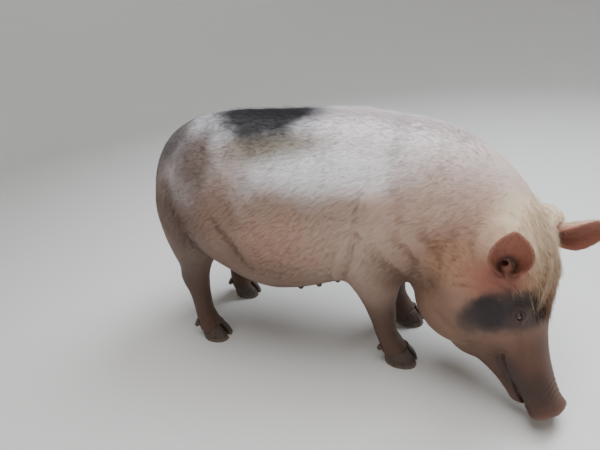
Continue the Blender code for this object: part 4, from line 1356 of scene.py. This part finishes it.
class SOW_OT_bristles(bpy.types.Operator):
    """Grow the longer bristles of the withers, poll, forehead, ears, tail and chin, and the lashes"""

    bl_idname = "sow.bristles"
    bl_label = "Bristles and lashes"

    def execute(self, context):
        sizes = context.scene.sow_sizes
        roots = Roots(bpy.data.objects["skin"])
        pale = hair_material("bristle_pale", tuple(context.scene.sow_colours.straw), 0.45)
        long = sizes.bristle_length
        thin = 1

        def withers(p):
            local = p - np.array(START)
            ridge = np.exp(-((local[:, 1] / 0.045) ** 2)) * ramp(local[:, 2], 0.60, 0.68)
            return ridge * ramp(local[:, 0], -0.30, 0.16)

        def poll(p):
            head = into_head(p)
            return (
                np.exp(-((head[:, 1] / 0.065) ** 2)) * ramp(head[:, 0], -0.08, 0.0)
                * (1 - ramp(head[:, 0], 0.10, 0.17)) * ramp(head[:, 2], 0.02, 0.08)
            )

        def brow(p):
            head = into_head(p)
            return (
                np.exp(-(((head[:, 1] + 0.030) / 0.040) ** 2)) * ramp(head[:, 0], 0.04, 0.08)
                * (1 - ramp(head[:, 0], 0.16, 0.22)) * ramp(head[:, 2], 0.02, 0.06)
            )

        def chin(p):
            head = into_head(p)
            under = ramp(head[:, 0], 0.24, 0.30) * (1 - ramp(head[:, 2], -0.10, -0.06))
            return under + 0.1 * ramp(head[:, 0], 0.30, 0.36)

        def tail_tip(p):
            return 1 - ramp(p[:, 2], 0.43, 0.50)

        def mound(p):
            away = np.linalg.norm(into_head(p) - (0.008, 0.124, 0.114), axis=1)
            return np.exp(-((away / 0.055) ** 2))

        # Each row: the piece, its nodes, how many tufts, their length, degrees of lift, the way they lie
        # where it isn't the coat's, where they grow, hairs in a tuft, and how stout a hair is.
        groups = (
            ("bristles_mound", ("head",), 420, 0.55, 30, None, mound, 2, 1.7),
            ("bristles_whorl", ("head", "neck"), 170, 1.05, 26, None, poll, 2, 1.7),
            ("bristles_withers", ("torso", "neck"), 1100, 0.95, 15, (-1.0, 0.0, 0.05), withers, 3, 1.15),
            ("bristles_standing", ("torso", "neck"), 420, 0.85, 38, (-1.0, 0.0, 0.05), withers, 1, 1.5),
            ("bristles_poll", ("head", "neck"), 900, 1.00, 22, None, poll, 3, 1.6),
            ("bristles_brow", ("head",), 420, 1.15, 13, None, brow, 3, 1.5),
            ("bristles_ear_right", ("ear_right",), 420, 0.40, 24, None, clear_of_face, 2, 1.0),
            ("bristles_ear_left", ("ear_left",), 420, 0.40, 24, None, clear_of_face, 2, 1.0),
            ("bristles_tail", ("tail",), 160, 1.30, 14, (0.0, 0.0, -1.0), tail_tip, 3, 1.15),
            ("whiskers_chin", ("head",), 150, 0.50, 38, None, chin, 1, 1.0),
        )
        for index, (name, nodes, count, share, degrees, way, weight, hairs, stout) in enumerate(groups):
            rng = np.random.default_rng(sizes.seed + 40 + index)
            places, normals = roots.draw(rng, nodes, count // thin, weight)
            lie = hair_lie(places, normals, nodes[0])
            if way is not None:
                lie = np.tile(way, (len(places), 1))
            if name == "bristles_whorl":
                lie = rng.normal(0, 1, (len(places), 3))
            if name in ("bristles_poll", "bristles_brow"):
                lie = out_of_head(np.tile((1.0, -0.10, 0.0), (len(places), 1)))
            lie = unit(lie - normals * (lie * normals).sum(1, keepdims=True))
            lengths = np.full(len(places), long * share) * rng.uniform(0.6, 1.2, len(places))
            lift = np.full(len(places), math.radians(degrees)) * rng.uniform(0.6, 1.5, len(places))
            drawn = tufts(
                rng, roots, places, normals, lie, lengths, sizes.hair_width * stout, lift, hairs,
                unwrap(places, nodes[0]), spread=0.0022, fan=0.20, bend=0.45,
            )
            mesh = hair_mesh(name, *drawn)
            plain = name not in ("bristles_poll", "bristles_mound", "bristles_whorl")
            worn = "ear_hair" if "ear" in name else "coat_hair" if plain else pale.name
            mesh.materials.append(bpy.data.materials[worn])
            new_object(name, mesh, "coat")
        self.lock(sizes, roots, pale)
        self.lashes(sizes, pale)
        return {"FINISHED"}

    def lock(self, sizes, roots, material):
        """The long lock that hangs from the poll past the inner side of the eye."""
        rng = np.random.default_rng(sizes.seed + 80)
        route = np.array(LOCK_ROUTE)
        shares = np.linspace(0, 1, len(route))
        spines, ups = [], []
        for _ in range(90):
            start = rng.uniform(0.0, 0.62)
            steps = np.linspace(start, min(1.0, start + rng.uniform(0.30, 0.55)), 5)
            line = np.stack([np.interp(steps, shares, route[:, k]) for k in range(3)], axis=1)
            line += rng.normal(0, 0.0045, 3) + np.outer(np.linspace(0, 1, 5), rng.normal(0, 0.004, 3))
            line = out_of_head(line) + np.array(HEAD_ORIGIN)
            found = roots.nearest(line)
            height = np.array((-0.0005, 0.0022, 0.0036, 0.0042, 0.0040)) * rng.uniform(0.8, 1.4)
            normal = roots.normals[found]
            on_skin = line - normal * ((line - roots.places[found]) * normal).sum(1, keepdims=True)
            spines.append(on_skin + normal * height[:, None])
            ups.append(normal[0])
        widths = np.full((len(spines), 4), sizes.hair_width * 1.0) * (1.0, 0.95, 0.8, 0.5)
        marks = unwrap(np.array(spines)[:, 0], "head")
        shades = rng.uniform(0.4, 0.9, len(spines))
        mesh = hair_mesh("lock", np.array(spines), widths, np.array(ups), shades, marks)
        mesh.materials.append(material)
        new_object("lock", mesh, "coat")

    def lashes(self, sizes, material):
        """Lashes along both lids, longer on the upper one."""
        for side, word in SIDES:
            rng = np.random.default_rng(sizes.seed + 90 + side)
            lid = np.array(eye_frame(side))
            spines = []
            for upper, count, length, over in ((1, 46, 0.0135, 0.0068), (-1, 24, 0.0080, 0.0056)):
                for k in range(count):
                    turn = math.pi * (0.10 + 0.80 * (k + rng.uniform(-0.3, 0.3)) / (count - 1))
                    start = np.array((math.cos(turn) * 0.0108, upper * math.sin(turn) * over, 0.0140))
                    out = unit(np.array((math.cos(turn) * 0.45, upper * 0.65, 0.75)) + rng.normal(0, 0.08, 3))
                    droop = np.array((0.0, -0.55 * upper, 0.15))
                    reach = length * rng.uniform(0.75, 1.1)
                    shares = (0, 0.4, 0.75, 1.0)
                    spines.append([start + out * reach * s + droop * reach * s * s * 0.6 for s in shares])
            local = np.array(spines)
            spines = local @ lid[:3, :3].T + lid[:3, 3]
            count = len(spines)
            widths = np.full((count, 3), 0.00016) * (1.0, 0.8, 0.5)
            ups = np.tile(lid[:3, 0], (count, 1))
            marks = np.tile((0.5, 0.5), (count, 1)) + rng.uniform(-0.1, 0.1, (count, 2))
            mesh = hair_mesh(f"lashes_{word}", spines, widths, ups, rng.uniform(0.2, 0.7, count), marks)
            mesh.materials.append(material)
            new_object(f"lashes_{word}", mesh, "coat")


# Claws


class SOW_OT_claws(bpy.types.Operator):
    """Round the claws and dewclaws and give them growth rings"""

    bl_idname = "sow.claws"
    bl_label = "Claws"

    def execute(self, context):
        material = claw_material()
        for leg in LEGS:
            for kind in ("claw_inner", "claw_outer", "dewclaw_inner", "dewclaw_outer"):
                node = f"{leg}_{kind}"
                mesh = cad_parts[node].data.copy()
                made = bmesh.new()
                made.from_mesh(mesh)
                bmesh.ops.remove_doubles(made, verts=made.verts, dist=MERGE_DISTANCE)
                made.to_mesh(mesh)
                made.free()
                piece = new_object(f"{node}_horn", mesh, "horn", (node,))
                remesh = piece.modifiers.new("melt", "REMESH")
                remesh.mode = "VOXEL"
                remesh.voxel_size = CLAW_GRAIN if "dew" not in kind else DEWCLAW_GRAIN
                smooth = piece.modifiers.new("ease", "SMOOTH")
                smooth.factor = 0.5
                smooth.iterations = 5
                settled(piece)
                points, normals = vertex_arrays(piece.data)
                low = points[:, 2].min()
                phase = (points[:, 2] - low) * 2 * math.pi / CLAW_RING_STEP + 14 * points[:, 0]
                rings = CLAW_RING_HEIGHT * np.sin(phase)
                side = 1 - np.abs(normals[:, 2]) ** 2
                points = points + normals * (rings * side)[:, None]
                if "dew" not in kind:
                    points[:, 2] += 0.006 * ramp(normals[:, 2], 0.3, 0.9)
                points[:, 2] = np.maximum(points[:, 2], 0.0002)
                moved(piece.data, points)
                piece.data.shade_smooth()
                piece.data.materials.clear()
                piece.data.materials.append(material)
        return {"FINISHED"}


# Floor, light and camera


class SOW_OT_stage(bpy.types.Operator):
    """Lay the pale floor, hang the soft lights and set the camera where the photo was taken"""

    bl_idname = "sow.stage"
    bl_label = "Stage"

    def execute(self, context):
        self.floor(context)
        self.lights(context)
        self.camera(context)
        return {"FINISHED"}

    def floor(self, context):
        """A floor that bends up into a backdrop far behind and round the sow."""
        reach, rise, bend = 5.0, 4.0, 1.5
        profile = [(0.0, 0.0), (reach - bend, 0.0)]
        for k in range(1, 13):
            turn = math.pi / 2 * k / 12
            profile.append((reach - bend + bend * math.sin(turn), bend - bend * math.cos(turn)))
        profile.append((reach, rise))
        made = bmesh.new()
        verts = [made.verts.new((x, 0, z)) for x, z in profile]
        edges = [made.edges.new(pair) for pair in zip(verts, verts[1:])]
        bmesh.ops.spin(
            made, geom=verts + edges, cent=(0, 0, 0), axis=(0, 0, 1), angle=2 * math.pi, steps=96,
            use_merge=True,
        )
        bmesh.ops.remove_doubles(made, verts=made.verts, dist=0.0001)
        bmesh.ops.recalc_face_normals(made, faces=made.faces)
        mesh = bpy.data.meshes.new("floor")
        made.to_mesh(mesh)
        made.free()
        mesh.shade_smooth()
        floor = bpy.data.objects.new("floor", mesh)
        context.scene.collection.objects.link(floor)
        graph = Graph("floor_paint")
        pale = tuple(context.scene.sow_colours.floor)
        worn = graph.noise(1.3, 4.0, 0.5)
        speck = graph.noise(120.0, 3.0, 0.6)
        colour = graph.mix((worn - 0.5) * 0.4 + (speck - 0.5) * 0.25 + 0.2, pale, tuple(0.9 * c for c in pale))
        graph.finish(Base_Color=colour, Roughness=0.55 + (worn - 0.5) * 0.2, Normal=graph.bump(speck, 0.0003))
        mesh.materials.append(graph.material)

    def lights(self, context):
        for name, place, size, power, colour in LAMPS:
            lamp = bpy.data.lights.new(name, "AREA")
            lamp.shape = "DISK"
            lamp.size = size
            lamp.energy = power
            lamp.color = colour
            obj = bpy.data.objects.new(name, lamp)
            obj.location = place
            obj.rotation_euler = (LAMP_TARGET - Vector(place)).to_track_quat("-Z", "Y").to_euler()
            context.scene.collection.objects.link(obj)
        world = context.scene.world or bpy.data.worlds.new("studio")
        context.scene.world = world
        world.use_nodes = True
        background = world.node_tree.nodes["Background"]
        background.inputs["Color"].default_value = AIR_COLOUR
        background.inputs["Strength"].default_value = AIR_STRENGTH

    def camera(self, context):
        lens = bpy.data.cameras.new("camera")
        lens.sensor_width = SENSOR_WIDTH
        lens.lens = CAMERA_FOCUS / PHOTO_WIDTH * SENSOR_WIDTH
        lens.clip_end = 50
        turn = Matrix.Rotation(CAMERA_TURN, 3, "Z") @ Matrix.Rotation(math.pi / 2 - CAMERA_DOWN, 3, "X")
        turn = turn @ Matrix.Rotation(-CAMERA_ROLL, 3, "Z")
        obj = bpy.data.objects.new("camera", lens)
        obj.matrix_world = Matrix.Translation(START + CAMERA_PLACE) @ turn.to_4x4()
        context.scene.collection.objects.link(obj)
        context.scene.camera = obj


class SOW_PT_panel(bpy.types.Panel):
    """Lists the steps that dress the sow"""

    bl_label = "Sow"
    bl_idname = "SOW_PT_panel"
    bl_space_type = "VIEW_3D"
    bl_region_type = "UI"
    bl_category = "Sow"

    def draw(self, context):
        for operator in OPERATORS:
            self.layout.operator(operator.bl_idname)
        for group in (context.scene.sow_sizes, context.scene.sow_colours):
            for key in group.__annotations__:
                self.layout.prop(group, key)


OPERATORS = (SOW_OT_stage, SOW_OT_skin, SOW_OT_eyes, SOW_OT_coat, SOW_OT_bristles, SOW_OT_claws)
CLASSES = (SowColours, SowSizes) + OPERATORS + (SOW_PT_panel,)


def register():
    for made in CLASSES:
        bpy.utils.register_class(made)
    bpy.types.Scene.sow_colours = bpy.props.PointerProperty(type=SowColours)
    bpy.types.Scene.sow_sizes = bpy.props.PointerProperty(type=SowSizes)


def unregister():
    del bpy.types.Scene.sow_sizes
    del bpy.types.Scene.sow_colours
    for made in reversed(CLASSES):
        bpy.utils.unregister_class(made)


def main():
    register()
    bpy.ops.sow.stage()
    bpy.ops.sow.skin()
    bpy.ops.sow.eyes()
    bpy.ops.sow.coat()
    bpy.ops.sow.bristles()
    bpy.ops.sow.claws()


if __name__ == "__main__":
    main()
